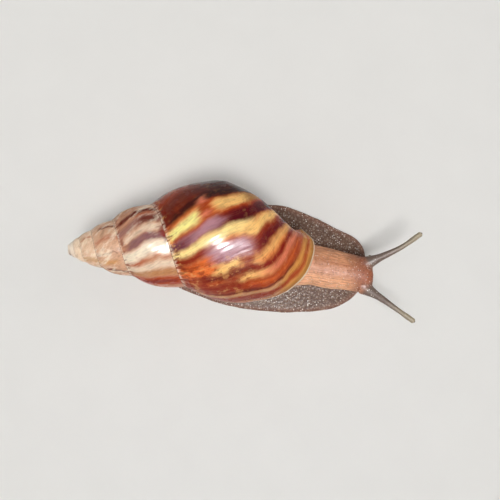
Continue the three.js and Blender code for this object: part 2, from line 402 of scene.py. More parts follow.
@dataclass
class Shell:
    """The spiral shell, from its blunt apex to the lip, closed a little way inside the mouth."""

    law: GrowthLaw = field(default_factory=GrowthLaw)
    whorls: int = 6
    steps: int = 400  # round one whorl
    cells: int = 24  # from suture to suture
    doublings: int = 3  # how often a short run of steps is copied on to itself
    spire_flatness: float = 0.4  # how much flatter the whorls of the spire are
    relief_radius: float = 16  # millimetres from the axis at which the relief has its full height
    # Relief: height in millimetres, waves to a turn, waves across it and the slice of noise.
    ripples: tuple[Point, ...] = ((0.045, 150, 1.5, 0.5), (0.085, 38, 1.2, 3.5), (0.09, 13, 3.2, 7.5))
    rest_marks: float = 0.25  # millimetres high
    pinch: float = 0.3  # height of the crinkles beside a suture
    pinch_place: float = 0.035
    pinch_width: float = 0.028
    sunk: float = 0.2  # how far all but the last stretch lies below the lip
    # The apex's cap: size of each ring as a share of the one before, and millimetres back to it.
    apex_cap: tuple[Point, ...] = ((0.96, 0.3), (0.88, 0.2), (0.72, 0.11), (0.5, 0.05))
    apex_centre: float = 0.9
    weld: float = 0.003  # points closer than this many millimetres are one
    wall_shrink: float = 0.955
    # The lip's bead: millimetres forwards and inwards from each ring to the next.
    lip_bead: tuple[Point, ...] = ((0.15, 0.08), (0.06, 0.18), (-0.08, 0.2), (-0.4, 0.12))
    throat_shrink: float = 0.8273  # size of the last ring inside the mouth beside the one before
    throat_depth: float = 5
    throat_rings: int = 3
    apex_reach: float = 6  # millimetres from the apex that only the first whorl's end lies within
    aperture: Piece | None = None  # the mouth's edge, kept for the collar

    def build(self) -> Piece:
        """Makes the whole shell in place.

        Returns:
            The finished piece.
        """
        law = self.law
        shell = self.wind("snail_shell", Stretch.WHORL, law.lip_turn - 1, 1.0)
        self.copy_whorls(shell)
        length = law.between_sutures
        base = self.wind("snail_shell_base", Stretch.BASE, law.lip_turn - length, length)
        Bench.join(shell, base)
        Bench.edit_all()
        bpy.ops.mesh.remove_doubles(threshold=self.weld * MM)
        Bench.rest()
        turns, across = law.locate(Bench.places(shell))
        Bench.paint(shell, "turns", turns)
        Bench.paint(shell, "across", across)
        self.flare(shell, turns, across)
        self.relief(shell, turns, across)
        shell.matrix_world = law.frame()
        Bench.settle(shell)
        self.close_apex(shell)
        self.close_mouth(shell)
        self.lay_growth_map(shell)
        shell.location = -CENTRE * MM
        Bench.settle(shell)
        bpy.ops.object.shade_smooth()
        return shell

    def wind(self, name: str, stretch: Stretch, start: float, length: float) -> Piece:
        """Winds one stretch of the growth line round the axis.

        A short run of steps is extruded, each turned and enlarged, and then copied on to itself
        until it is as long as wanted.

        Args:
            name: Name of the new object.
            stretch: Which stretch of the growth line is wound.
            start: Its first growth line, in turns.
            length: How far it is wound, in turns.

        Returns:
            The new strip.
        """
        law = self.law
        line = [law.place(start, across) for across in np.linspace(*stretch.value, self.cells + 1)]
        strip = Bench.chain(name, line)
        step = 1 / self.steps
        count = round(length * self.steps / 2**self.doublings)
        for _ in range(count):
            Bench.extrude()
            self.grow(step)
        for k in range(self.doublings):
            bpy.ops.mesh.select_all(action="SELECT")
            bpy.ops.mesh.duplicate()
            self.grow(step * count * 2**k)
        Bench.rest()
        return strip

    def grow(self, turns: float) -> None:
        """Turns what is selected about the axis and enlarges it by as much growth.

        Args:
            turns: How much growth.
        """
        origin = (0, 0, 0)
        out = self.law.out_ratio**turns
        Bench.turn(TURN * turns, origin)
        Bench.resize((out, out, self.law.along_ratio**turns), origin)

    def copy_whorls(self, shell: Piece) -> None:
        """Adds the earlier whorls as smaller copies of the last.

        Args:
            shell: The last whorl.
        """
        Bench.pick(shell)
        Bench.edit_all()
        out, along = 1 / self.law.out_ratio, 1 / self.law.along_ratio
        for _ in range(self.whorls - 1):
            bpy.ops.mesh.duplicate()
            Bench.resize((out, out, along), (0, 0, 0))
        Bench.rest()

    def flare(self, shell: Piece, turns: np.ndarray, across: np.ndarray) -> None:
        """Opens the lip out over its last stretch.

        Args:
            shell: The wound shell, in its own space.
            turns: Growth line of each vertex.
            across: Its place across it.
        """
        law = self.law
        places = Bench.places(shell)
        late = np.clip(1 - (law.lip_turn - turns) / law.flare_turns, 0, 1) ** 1.5
        around = np.clip(across - 1, 0, 1)
        shares = np.linspace(0, 1, 61)
        round_lip = (across - 0.5) / 1.5
        left, forward, back = (
            late * np.interp(round_lip, shares, [ease(knots, share) for share in shares])
            for knots in (law.lip_left, law.lip_forward, law.lip_back)
        )
        angle = -TURN * back
        x, y = places[:, 0].copy(), places[:, 1].copy()
        bell = (1 + law.flare_out * late * np.sin(math.pi * around**1.4)) * law.out_ratio**-back
        places[:, 0] = (x * np.cos(angle) - y * np.sin(angle)) * bell + left * MM
        places[:, 1] = (x * np.sin(angle) + y * np.cos(angle)) * bell
        forward -= law.lip_corner * late * smooth_step(across, 1.78, 2.0)
        places[:, 2] = places[:, 2] * law.along_ratio**-back + forward * MM
        Bench.set_places(shell, places)

    def relief(self, shell: Piece, turns: np.ndarray, across: np.ndarray) -> None:
        """Raises growth lines, rest marks, faint dents and the pinched edge of each suture.

        Args:
            shell: The flared shell, in its own space.
            turns: Growth line of each vertex.
            across: Its place across it.
        """
        places = Bench.places(shell)
        plain = 1 + (self.law.out_ratio - 1) * np.clip(across, 0, 1)
        bulge = np.array([spline(self.law.line, s / 2)[1] for s in np.clip(across, 0, 1)]) / plain - 1
        places[:, :2] *= (1 - self.spire_flatness * bulge * smooth_step(turns, -0.7, -2.2))[:, None]
        size = np.hypot(places[:, 0], places[:, 1]) / (self.relief_radius * MM)
        normals = Bench.read(shell.data.vertices, "normal", 3)
        outward = np.sign(np.sum(normals[:, :2] * places[:, :2], axis=1))
        height = np.array([self.rise(t, s) for t, s in zip(turns, across)])
        height *= smooth_step(across, 0, 0.02) * smooth_step(across, 1.98, 1.8)
        places += normals * (outward * height * size * MM)[:, None]
        Bench.set_places(shell, places)

    def rise(self, turns: float, across: float) -> float:
        """Height of the relief, in millimetres on a whorl as wide as the last.

        Args:
            turns: Growth line.
            across: Place across it.

        Returns:
            The height, above or below the smooth shell.
        """
        height = 0.0
        for tall, along, crosswise, layer in self.ripples:
            height += tall * noise.noise((turns * along, across * crosswise, layer))
        rest = max(0.0, noise.noise((turns * 9, 0.3, 11.5)) - 0.25)
        pinch = math.exp(-(((across - self.pinch_place) / self.pinch_width) ** 2))
        pinch *= noise.noise((turns * 95, 0.2, 5.5))
        sunk = self.sunk * (1 - float(smooth_step(turns, 0.38, 0.5)))
        return height + self.rest_marks * rest + self.pinch * pinch - sunk

    def close_apex(self, shell: Piece) -> None:
        """Rounds off the small open end of the first whorl.

        Args:
            shell: The open shell.
        """
        apex = self.law.apex * MM
        self.pick_rim(shell, lambda centre: (centre - apex).length < self.apex_reach * MM)
        axis = self.law.frame().to_3x3() @ Vector((0, 0, 1))
        for shrink, back in self.apex_cap:
            Bench.extrude(axis * (-back * MM))
            Bench.resize((shrink,) * 3, apex + axis * (self.apex_centre * MM))
        Bench.extrude()
        bpy.ops.mesh.merge(type="CENTER")
        Bench.rest()

    def close_mouth(self, shell: Piece) -> None:
        """Gives the lip its thickness and walls the mouth off a little way in.

        Args:
            shell: The shell, open at its mouth alone.
        """
        apex = self.law.apex * MM
        self.pick_rim(shell, lambda centre: (centre - apex).length > self.apex_reach * MM)
        bpy.ops.mesh.duplicate()
        bpy.ops.mesh.separate(type="SELECTED")
        Bench.rest()
        self.aperture = next(o for o in bpy.context.selected_objects if o != shell)
        self.aperture.name = "aperture"
        outer = len(shell.data.vertices)
        self.round_lip(shell)
        for ring in range(1, self.throat_rings + 1):
            share = ring / self.throat_rings
            Bench.extrude((0, 0, self.throat_depth * MM / self.throat_rings))
            middle = THROAT + Vector((0, 0, self.throat_depth * share))
            Bench.resize((1 - (1 - self.throat_shrink) * share,) * 3, middle * MM)
        Bench.extrude((0, 0, MM))
        bpy.ops.mesh.merge(type="CENTER")
        bpy.ops.mesh.select_all(action="SELECT")
        bpy.ops.mesh.normals_make_consistent(inside=False)
        Bench.rest()
        Bench.paint(shell, "inside", (np.arange(len(shell.data.vertices)) >= outer).astype(float))

    def round_lip(self, shell: Piece) -> None:
        """Rolls the lip's edge over into a rounded bead and leaves its inner ring selected.

        Args:
            shell: The open shell.
        """
        law = self.law
        places = Bench.places(shell)
        normals = Bench.read(shell.data.vertices, "normal", 3)
        turned = law.frame().to_3x3()
        axis = np.array(turned @ Vector((0, 0, 1)))
        away = places - np.array(law.apex * MM)
        away -= (away @ axis)[:, None] * axis
        normals *= np.sign(np.sum(normals * away, axis=1))[:, None]
        outward = shell.data.attributes.new("outward", "FLOAT_VECTOR", "POINT")
        outward.data.foreach_set("vector", normals.astype(np.float32).ravel())
        throat = np.array(THROAT * MM)
        shrink = 1 - (1 - self.wall_shrink) / len(self.lip_bead)
        self.pick_rim(shell, lambda centre: True)
        for forward, inward in self.lip_bead:
            Bench.extrude()
            Bench.rest()
            picked = Bench.read(shell.data.vertices, "select", kind=bool)
            places = Bench.places(shell)
            turns, across = Bench.painted(shell, "turns"), Bench.painted(shell, "across")
            normals = Bench.read(shell.data.attributes["outward"].data, "vector", 3, np.float32)
            share = smooth_step(turns, law.lip_turn - 0.004, law.lip_turn - 0.001)
            share *= smooth_step(across, 0.02, 0.15) * smooth_step(across, 1.95, 1.75)
            for k in np.nonzero(picked)[0]:
                here = law.place(turns[k], across[k])
                growing = turned @ (law.place(turns[k] + 0.01, across[k]) - here)
                bead = np.array(growing.normalized()) * forward - normals[k] * inward
                plain = (shrink - 1) * (places[k] - throat)
                places[k] += share[k] * bead * MM + (1 - share[k]) * plain
            Bench.set_places(shell, places)
            bpy.ops.object.mode_set(mode="EDIT")
        shell.data.attributes.remove(shell.data.attributes["outward"])

    @staticmethod
    def pick_rim(shell: Piece, wanted: Callable[[Vector], bool]) -> None:
        """Enters edit mode with the open edges that pass a test selected.

        Args:
            shell: Piece with open edges.
            wanted: Says of an edge's middle whether it is one of them.
        """
        Bench.pick(shell)
        Bench.edit()
        bpy.ops.mesh.select_mode(type="EDGE")
        bpy.ops.mesh.select_all(action="DESELECT")
        bpy.ops.mesh.select_non_manifold(
            extend=False, use_wire=False, use_multi_face=False, use_non_contiguous=False, use_verts=False
        )
        Bench.rest()
        mesh = shell.data
        for edge in mesh.edges:
            if edge.select:
                start, end = (mesh.vertices[k].co for k in edge.vertices)
                edge.select = wanted((start + end) / 2)
        kept = {k for edge in mesh.edges if edge.select for k in edge.vertices}
        for corner in mesh.vertices:
            corner.select = corner.index in kept
        for facet in mesh.polygons:
            facet.select = False
        bpy.ops.object.mode_set(mode="EDIT")

    @staticmethod
    def part_ages(shell: Piece, ages: Sequence[float]) -> None:
        """Gives each age of the shell its own material slot.

        Args:
            shell: The finished shell, with a material for each age.
            ages: Where each age starts, in turns.
        """
        growth = Bench.read(shell.data.uv_layers["Growth"].data, "uv", 2, np.float32)
        Bench.pick(shell)
        for slot, start in enumerate(ages):
            for facet in shell.data.polygons:
                facet.select = bool(growth[list(facet.loop_indices), 0].mean() >= start)
            bpy.ops.object.mode_set(mode="EDIT")
            bpy.ops.mesh.select_mode(type="FACE")
            shell.active_material_index = slot
            bpy.ops.object.material_slot_assign()
            Bench.rest()

    def lay_growth_map(self, shell: Piece) -> None:
        """Lays a map named Growth whose u is the growth line and v the place across it.

        Args:
            shell: The closed shell, with its turns and across painted on.
        """
        mesh = shell.data
        turns = Bench.painted(shell, "turns")
        across = Bench.painted(shell, "across")
        layer = mesh.uv_layers.new(name="Growth")
        corners = Bench.read(mesh.loops, "vertex_index", kind=np.int32)
        u, v = turns[corners].copy(), across[corners].copy()
        for facet in mesh.polygons:
            run = slice(facet.loop_start, facet.loop_start + facet.loop_total)
            if v[run].max() > 0.5:
                seam = v[run] < 0.2
                u[run][seam] -= self.law.between_sutures
                v[run][seam] = 1
        layer.data.foreach_set("uv", np.stack([u, v], 1).astype(np.float32).ravel())


class Side(Enum):
    """The animal's two sides."""

    LEFT = "left"
    RIGHT = "right"


@dataclass
class Tentacles:
    """The four tentacles: paths from root to tip, and radii evenly spaced along them."""

    upper: dict[Side, tuple[Point, ...]] = field(
        default_factory=lambda: {
            Side.LEFT: ((35.4, -4.6, 12.6), (41.5, -1.6, 15.6), (46.6, 1.1, 17.1), (51.4, 4.6, 18)),
            Side.RIGHT: ((35.2, -11.4, 12.6), (40.4, -14.9, 15.6), (44.9, -18.2, 17.1), (49.2, -21.3, 18)),
        }
    )
    lower: dict[Side, tuple[Point, ...]] = field(
        default_factory=lambda: {
            Side.LEFT: ((35.8, -5, 8.9), (37.6, -3.4, 7.1), (38.7, -2.2, 6)),
            Side.RIGHT: ((35.8, -11, 8.9), (37.6, -12.8, 7.1), (38.3, -14, 6)),
        }
    )
    upper_radii: tuple[float, ...] = (2.6, 1.8, 1.25, 1.02, 0.87, 0.78, 0.74, 0.84, 0.84)
    lower_radii: tuple[float, ...] = (1.3, 1, 0.85, 0.75, 0.65)
    upper_tip: float = 0.87  # radius of the ball that rounds it off
    lower_tip: float = 0.65
    around: int = 24
    steps: int = 16  # from knot to knot

    def build(self, side: Side) -> list[Piece]:
        """Makes the two tentacles of one side.

        Args:
            side: Which side.

        Returns:
            The closed pieces.
        """
        return [
            self.taper(f"tentacle_upper_{side.value}", self.upper[side], self.upper_radii),
            self.taper(f"tentacle_lower_{side.value}", self.lower[side], self.lower_radii),
            self.tip(self.upper[side][-1], self.upper_tip),
            self.tip(self.lower[side][-1], self.lower_tip),
        ]

    @staticmethod
    def tip(place: Point, radius: float) -> Piece:
        """Rounds off the end of a tentacle with a ball.

        Args:
            place: The tentacle's end, in millimetres.
            radius: The ball's, in millimetres.

        Returns:
            The ball.
        """
        ball = Bench.ball(radius, place, 32, 24)
        Bench.settle(ball)
        return ball

    def nearness(self, places: np.ndarray) -> tuple[np.ndarray, np.ndarray]:
        """How far points lie from the upper and lower tentacles' paths.

        Args:
            places: Rows of x, y, z in millimetres.

        Returns:
            The distance less the tentacle's radius, and how far along it the nearest place is.
        """
        gap = np.full(len(places), 99.0)
        reach = np.zeros(len(places))
        for paths, radii in ((self.upper, self.upper_radii), (self.lower, self.lower_radii)):
            for path in paths.values():
                for share in np.linspace(0, 1, 60):
                    away = np.linalg.norm(places - spline(path, share), axis=1) - ease(radii, share)
                    closer = away < gap
                    gap[closer] = away[closer]
                    reach[closer] = share
        return gap, reach

    def taper(self, name: str, path: Sequence[Point], radii: Sequence[float]) -> Piece:
        """Rounds a path into a closed tube, fuller or thinner as it goes.

        Args:
            name: Name of the new object.
            path: Knots of the path in millimetres.
            radii: Evenly spaced radii in millimetres.

        Returns:
            The closed piece.
        """
        Bench.clear()
        bpy.ops.curve.primitive_nurbs_path_add(location=(0, 0, 0))
        curve = bpy.context.object
        curve.name = name
        curve.data.splines.clear()
        line = curve.data.splines.new("POLY")
        count = self.steps * (len(path) - 1)
        line.points.add(count)
        for k, point in enumerate(line.points):
            share = k / count
            point.co = (*(spline(path, share) * MM), 1)
            point.radius = ease(radii, share)
        curve.data.bevel_depth = MM
        curve.data.bevel_resolution = self.around // 4
        curve.data.use_fill_caps = True
        Bench.pick(curve)
        bpy.ops.object.convert(target="MESH")
        return curve


@dataclass
class Flesh:
    """The soft animal in one skin: sole, trunk, neck, head, tentacles, mouth and mantle collar."""

    tentacles: Tentacles = field(default_factory=Tentacles)
    foot_left: tuple[Point, ...] = (
        (-38, -0.4), (-36.2, 2.5), (-30, 6.4), (-20, 10.6), (-8, 13.9), (3, 15.2),
        (12, 14.5), (20, 11.5), (28, 7.5), (33.6, 4.9), (37.2, 1.4), (38.4, -3.2),
    )
    foot_right: tuple[Point, ...] = (
        (-38, -1), (-35.6, -4.6), (-29.4, -9.2), (-20, -14.2), (-8, -18.4), (3, -20.2),
        (14, -20.8), (24, -20.2), (30.4, -18.3), (34.6, -15.2), (37.2, -11.6), (38.4, -7.4),
    )
    crown: tuple[float, ...] = (1.8, 3.4, 4.3, 4.8, 5, 5.1, 5.1, 5.1, 5.1, 4.9, 4, 2.2)
    flange: float = 1.9  # height of the foot's edge
    foot_waver: float = 0.28
    foot_stations: int = 76
    profile: tuple[Point, ...] = (  # share of the way across, share of the flange, share of the crown
        (0.03, 0, 0), (0.006, 0.14, 0), (0, 0.4, 0), (0.006, 0.75, 0), (0.022, 0.95, 0), (0.05, 1, 0.05),
        (0.14, 1, 0.32), (0.28, 1, 0.8), (0.4, 1, 0.97), (0.5, 1, 1), (0.6, 1, 0.97), (0.72, 1, 0.8),
        (0.86, 1, 0.32), (0.95, 1, 0.05), (0.978, 0.95, 0), (0.994, 0.75, 0), (1, 0.4, 0), (0.994, 0.14, 0),
        (0.97, 0, 0), (0.75, 0, 0), (0.5, 0, 0), (0.25, 0, 0),
    )
    # Trunk, neck and head: place of each cross-section, its half width and its half height.
    body: tuple[Point, ...] = (
        (-24, -3.5, 4, 2.5, 1.5), (-17, -4, 6, 5.5, 3.8), (-11, -5, 8, 7.5, 6), (-4, -5.4, 9.4, 8.8, 8.4),
        (4, -5.2, 9.8, 9.2, 9), (12, -4.6, 9.6, 7.4, 8.4), (18, -4.5, 9.4, 6.5, 7.5),
        (24, -5.6, 9.4, 6.5, 7.1), (30, -6.7, 9.6, 6, 6.7), (34, -7.5, 9.9, 5.8, 6.2),
        (36.6, -7.9, 10, 5.5, 5.7), (38, -8, 10.3, 4.2, 4.1), (38.5, -8, 10.6, 1.8, 1.9),
    )
    body_stations: int = 96
    body_corners: int = 40
    collar: tuple[Point, ...] = (  # share of the mouth's size, and height above it
        (0.4, -10), (0.66, -5.5), (0.82, -3.4), (0.9, -2), (0.93, -0.6),
        (0.92, 0.1), (0.86, 0.8), (0.72, 2.2), (0.55, 3.6),
    )
    girth: float = 6.6  # the neck's mean radius, which turns angles round it into millimetres
    mouth: Point = (37.8, -8, 6.8)
    muzzle: Point = (2.6, 3.4, 2.2)  # half the space round the mouth that is lip
    slit: Point = (0.28, 1.1)  # half the width and height of the mouth's opening
    lobes: tuple[Point, ...] = ((-1.4, 1), (1.4, 1), (0, 0.8))  # place beside the mouth, and size
    lobe_radii: Point = (1.7, 1.8, 1.4)
    loop: np.ndarray | None = None  # the shell's mouth, in metres
    voxel: float = 0.28
    smoothing: int = 14
    clearance: float = 0.25  # kept free round the shell
    wart_size: float = 0.9
    head_wart_size: float = 0.68
    long_wart: Point = (3.4, 1.05)  # length and width of a wart on the neck
    row: float = 2.3  # from one row of long warts to the next
    ridge: float = 3.4  # half the width of the smoother middle of the back
    wart_height: float = 0.2

    def build(self, aperture: Piece) -> Piece:
        """Makes the whole skin in place.

        Args:
            aperture: The mouth of the shell as a closed loop, which is used up.

        Returns:
            The finished piece.
        """
        parts = [self.make_foot(), self.make_trunk(), self.make_collar(aperture), *self.make_lips()]
        for side in Side:
            parts += self.tentacles.build(side)
        skin = Bench.join(*parts)
        skin.name = "snail_flesh"
        Bench.settle(skin)
        bpy.ops.object.duplicate()
        mould = bpy.context.object
        Bench.modify(skin, "REMESH", mode="VOXEL", voxel_size=self.voxel * MM)
        self.keep_tentacles(skin)
        Bench.modify(skin, "SMOOTH", factor=0.5, iterations=self.smoothing)
        wrap = {"wrap_method": "NEAREST_SURFACEPOINT", "vertex_group": "thin"}
        Bench.modify(skin, "SHRINKWRAP", target=mould, **wrap)
        bpy.data.objects.remove(mould, do_unlink=True)
        self.map_regions(skin)
        self.raise_warts(skin)
        skin.location = -CENTRE * MM
        Bench.settle(skin)
        self.clear_shell(skin)
        self.flatten_sole(skin)
        bpy.ops.object.shade_smooth()
        return skin

    def keep_tentacles(self, skin: Piece) -> None:
        """Marks the tentacles past their roots, which go back to their drawn thickness.

        Args:
            skin: The skin before it is smoothed.
        """
        places = Bench.places(skin) / MM
        gap, reach = self.tentacles.nearness(places)
        thin = smooth_step(reach, 0.12, 0.4) * (gap < 1.0)
        group = skin.vertex_groups.new(name="thin")
        for k in np.nonzero(thin > 0.01)[0]:
            group.add([int(k)], float(thin[k]), "REPLACE")

    def map_regions(self, skin: Piece) -> None:
        """Paints on the skin where each kind of hide grows, and how its grain runs.

        Args:
            skin: The smooth skin.
        """
        places = Bench.places(skin) / MM
        x, y, z = places.T
        table = trace(self.body, 200).T
        centre_y, centre_z, wide, high = (np.interp(x, table[0], row) for row in table[1:])
        sideways, upward = (y - centre_y) / wide, (z - centre_z) / high
        trunk = smooth_step(np.hypot(sideways, upward), 1.28, 1.06) * smooth_step(z, 1.6, 3.4)
        trunk *= smooth_step(x, 43, 39)
        head = smooth_step(x, 28.5, 35.5) * trunk
        gap, reach = self.tentacles.nearness(places)
        tentacle = smooth_step(gap, 1.5, 0.3) * smooth_step(reach, -0.04, 0.14)
        left, right = trace(self.foot_left, 200), trace(self.foot_right, 200)
        outline = np.vstack([left, right[::-1], left[:1]])
        inset = np.min([np.hypot(x - a, y - b) for a, b in outline], axis=0)
        margin = smooth_step(inset, 2.4, 0.3) * (1 - trunk)
        loop = self.loop / MM
        mouth = np.min([np.linalg.norm(places - p, axis=1) for p in loop], axis=0)
        collar = smooth_step(mouth, 4.6, 3.0) * smooth_step(z, 8, 10)
        around = np.arctan2(sideways, upward) * self.girth
        ahead, beside, above = (places - self.mouth).T
        lips = smooth_step(np.linalg.norm((places - self.mouth) / self.muzzle, axis=1), 1.25, 0.75)
        slit = smooth_step(np.hypot(beside / self.slit[0], (above + 0.2) / self.slit[1]), 1.3, 0.6)
        slit *= ahead > 0
        for name, values in (
            ("neck", trunk), ("head", head), ("tentacle", tentacle), ("margin", margin), ("collar", collar),
            ("lips", lips), ("slit", slit), ("along", x), ("around", around), ("reach", reach * tentacle),
        ):
            Bench.paint(skin, name, values)

    @staticmethod
    def wart(place: Point) -> float:
        """Height of a wart at a place measured in warts: 0 in the furrows round it, 1 on its top."""
        distance = noise.voronoi(place)[0]
        return min(1, (distance[1] - distance[0]) / 0.4)

    def raise_warts(self, skin: Piece) -> None:
        """Raises the warts, round on the foot and head, and long and in rows down the neck.

        Args:
            skin: The smooth skin, with its regions painted on.
        """
        places = Bench.places(skin)
        neck, head, tentacle, collar, lips, along, around, margin = (
            Bench.painted(skin, name)
            for name in ("neck", "head", "tentacle", "collar", "lips", "along", "around", "margin")
        )
        normals = Bench.read(skin.data.vertices, "normal", 3)
        ridge = np.exp(-((around / self.ridge) ** 2))
        lengthwise = neck * (1 - head) * (1 - 0.5 * ridge)
        wart = np.zeros(len(places))
        length, width = self.long_wart
        smaller = self.wart_size - self.head_wart_size
        for k, place in enumerate(places / MM):
            wart[k] = self.wart(place / (self.wart_size - smaller * head[k]))
            if lengthwise[k] > 0.02:
                x, y = along[k], around[k]
                wander = 0.6 * noise.noise((x * 0.18, y * 0.25, 3.5))
                long = self.wart((x / length, y / width + wander, 0.5))
                row = abs((y / self.row + 0.5 * noise.noise((x * 0.1, y * 0.16, 8.5))) % 1 - 0.5)
                long = min(long, 0.2 + row / 0.16)
                wart[k] += (long - wart[k]) * lengthwise[k]
        Bench.paint(skin, "wart", wart)
        smooth = (1 - 0.8 * tentacle) * (1 - 0.9 * collar) * (1 - 0.6 * lips) * (1 - 0.6 * margin)
        size = (self.wart_height - 0.02 * neck - 0.05 * head) * smooth
        size *= smooth_step(places[:, 2] / MM, 0.2, 1.2)
        places += normals * ((wart - 0.75) * size * MM)[:, None]
        Bench.set_places(skin, places)

    def flatten_sole(self, skin: Piece) -> None:
        """Makes the sole one flat face on the floor, with far fewer faces.

        Args:
            skin: The finished skin.
        """
        mesh = skin.data
        Bench.pick(skin)
        for facet in mesh.polygons:
            facet.select = facet.center.z < 0.05 * MM and facet.normal.z < -0.95
        Bench.edit()
        bpy.ops.mesh.select_mode(type="FACE")
        bpy.ops.mesh.dissolve_limited(angle_limit=math.radians(8))
        bpy.ops.mesh.quads_convert_to_tris()
        Bench.rest()

    def make_foot(self) -> Piece:
        """Lofts the broad foot, a thin flange that rises towards the middle.

        Returns:
            The closed piece.
        """
        rings = []
        for k in range(self.foot_stations + 1):
            share = k / self.foot_stations
            left, right = spline(self.foot_left, share), spline(self.foot_right, share)
            for edge, layer in ((left, 1.5), (right, 9.5)):
                edge[1] += self.foot_waver * noise.noise((edge[0] * 0.35, layer, 0))
            crown = ease(self.crown, share)
            flange = min(self.flange, crown)
            ring = []
            for across, skirt, rise in self.profile:
                x, y = left + (right - left) * across
                ring.append(Vector((x, y, skirt * flange + rise * (crown - flange))) * MM)
            rings.append(ring)
        return Bench.loft("foot", rings)

    def make_trunk(self) -> Piece:
        """Extrudes an oval from the back through the neck to the head.

        Returns:
            The closed piece.
        """
        *place, wide, high = spline(self.body, 0) * MM
        Bench.clear()
        bpy.ops.mesh.primitive_circle_add(
            vertices=self.body_corners, radius=1, location=(0, 0, 0), rotation=(0, TURN / 4, 0)
        )
        trunk = bpy.context.object
        trunk.name = "trunk"
        Bench.settle(trunk)
        Bench.edit_all()
        Bench.resize((1, wide, high), (0, 0, 0))
        bpy.ops.transform.translate(value=place)
        for k in range(1, self.body_stations + 1):
            *new_place, new_wide, new_high = spline(self.body, k / self.body_stations) * MM
            Bench.extrude(Vector(new_place) - Vector(place))
            Bench.resize((1, new_wide / wide, new_high / high), new_place)
            place, wide, high = new_place, new_wide, new_high
        Bench.finish_skin()
        return trunk

    def make_collar(self, aperture: Piece) -> Piece:
        """Extrudes the mouth's edge down into the trunk and a little way up inside.

        Args:
            aperture: The closed loop to start from.

        Returns:
            The closed piece.
        """
        throat = THROAT * MM
        self.loop = Bench.places(aperture)[::4].copy()
        Bench.pick(aperture)
        Bench.edit_all()
        share, up = self.collar[0]
        Bench.resize((share,) * 3, throat)
        bpy.ops.transform.translate(value=(0, 0, up * MM))
        for next_share, next_up in self.collar[1:]:
            Bench.extrude()
            Bench.resize((next_share / share,) * 3, throat + Vector((0, 0, up * MM)))
            bpy.ops.transform.translate(value=(0, 0, (next_up - up) * MM))
            share, up = next_share, next_up
        Bench.finish_skin()
        return aperture

    def make_lips(self) -> list[Piece]:
        """Makes the two lobes beside the mouth and the fold between them.

        Returns:
            The closed pieces.
        """
        x, y, z = self.mouth
        lobes = []
        for apart, size in self.lobes:
            lobe = Bench.ball(1, (x, y + apart, z), 24, 16)
            lobe.scale = Vector(self.lobe_radii) * size
            Bench.settle(lobe)
            lobes.append(lobe)
        return lobes

    def clear_shell(self, skin: Piece) -> None:
        """Cuts away what would reach into the shell, leaving a hair's breadth between them.

        Args:
            skin: The skin, in its final place.
        """
        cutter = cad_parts["shell"].copy()
        cutter.data = cutter.data.copy()
        cutter.name = "shell_room"
        bpy.context.collection.objects.link(cutter)
        Bench.pick(cutter)
        Bench.edit_all()
        bpy.ops.mesh.remove_doubles(threshold=0.01 * MM)
        bpy.ops.mesh.select_all(action="SELECT")
        bpy.ops.transform.shrink_fatten(value=self.clearance * MM)
        Bench.rest()
        Bench.modify(skin, "BOOLEAN", operation="DIFFERENCE", object=cutter, solver="MANIFOLD")
        bpy.data.objects.remove(cutter, do_unlink=True)


@dataclass
class Eyes:
    """The small dark eyes at the tips of the upper tentacles."""

    tentacles: Tentacles = field(default_factory=Tentacles)
    radius: float = 0.4011
    pupil_height: float = 0.3612  # faces this far from the middle are the pupil's
    pupil_rim: float = 0.042
    pupil_depth: float = 0.0336

    def build(self, side: Side) -> Piece:
        """Makes one eye, a ball with a shallow pupil pressed into its front.

        Args:
            side: Which side.

        Returns:
            The finished piece.
        """
        low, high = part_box(f"eye_{side.value}")
        before, tip = (Vector(knot) for knot in self.tentacles.upper[side][-2:])
        eye = Bench.ball(self.radius, (0, 0, 0), 32, 16)
        eye.name = f"snail_eye_{side.value}"
        Bench.edit()
        bpy.ops.mesh.select_all(action="DESELECT")
        Bench.rest()
        for facet in eye.data.polygons:
            facet.select = facet.center.z > self.pupil_height * MM
        Bench.edit()
        bpy.ops.mesh.select_mode(type="FACE")
        bpy.ops.mesh.inset(thickness=self.pupil_rim * MM, depth=-self.pupil_depth * MM)
        Bench.rest()
        Bench.modify(eye, "SUBSURF", levels=1, render_levels=1)
        eye.rotation_mode = "QUATERNION"
        eye.rotation_quaternion = (tip - before).to_track_quat("Z", "Y")
        eye.location = (low + high) / 2
        Bench.settle(eye)
        bpy.ops.object.shade_smooth()
        return eye


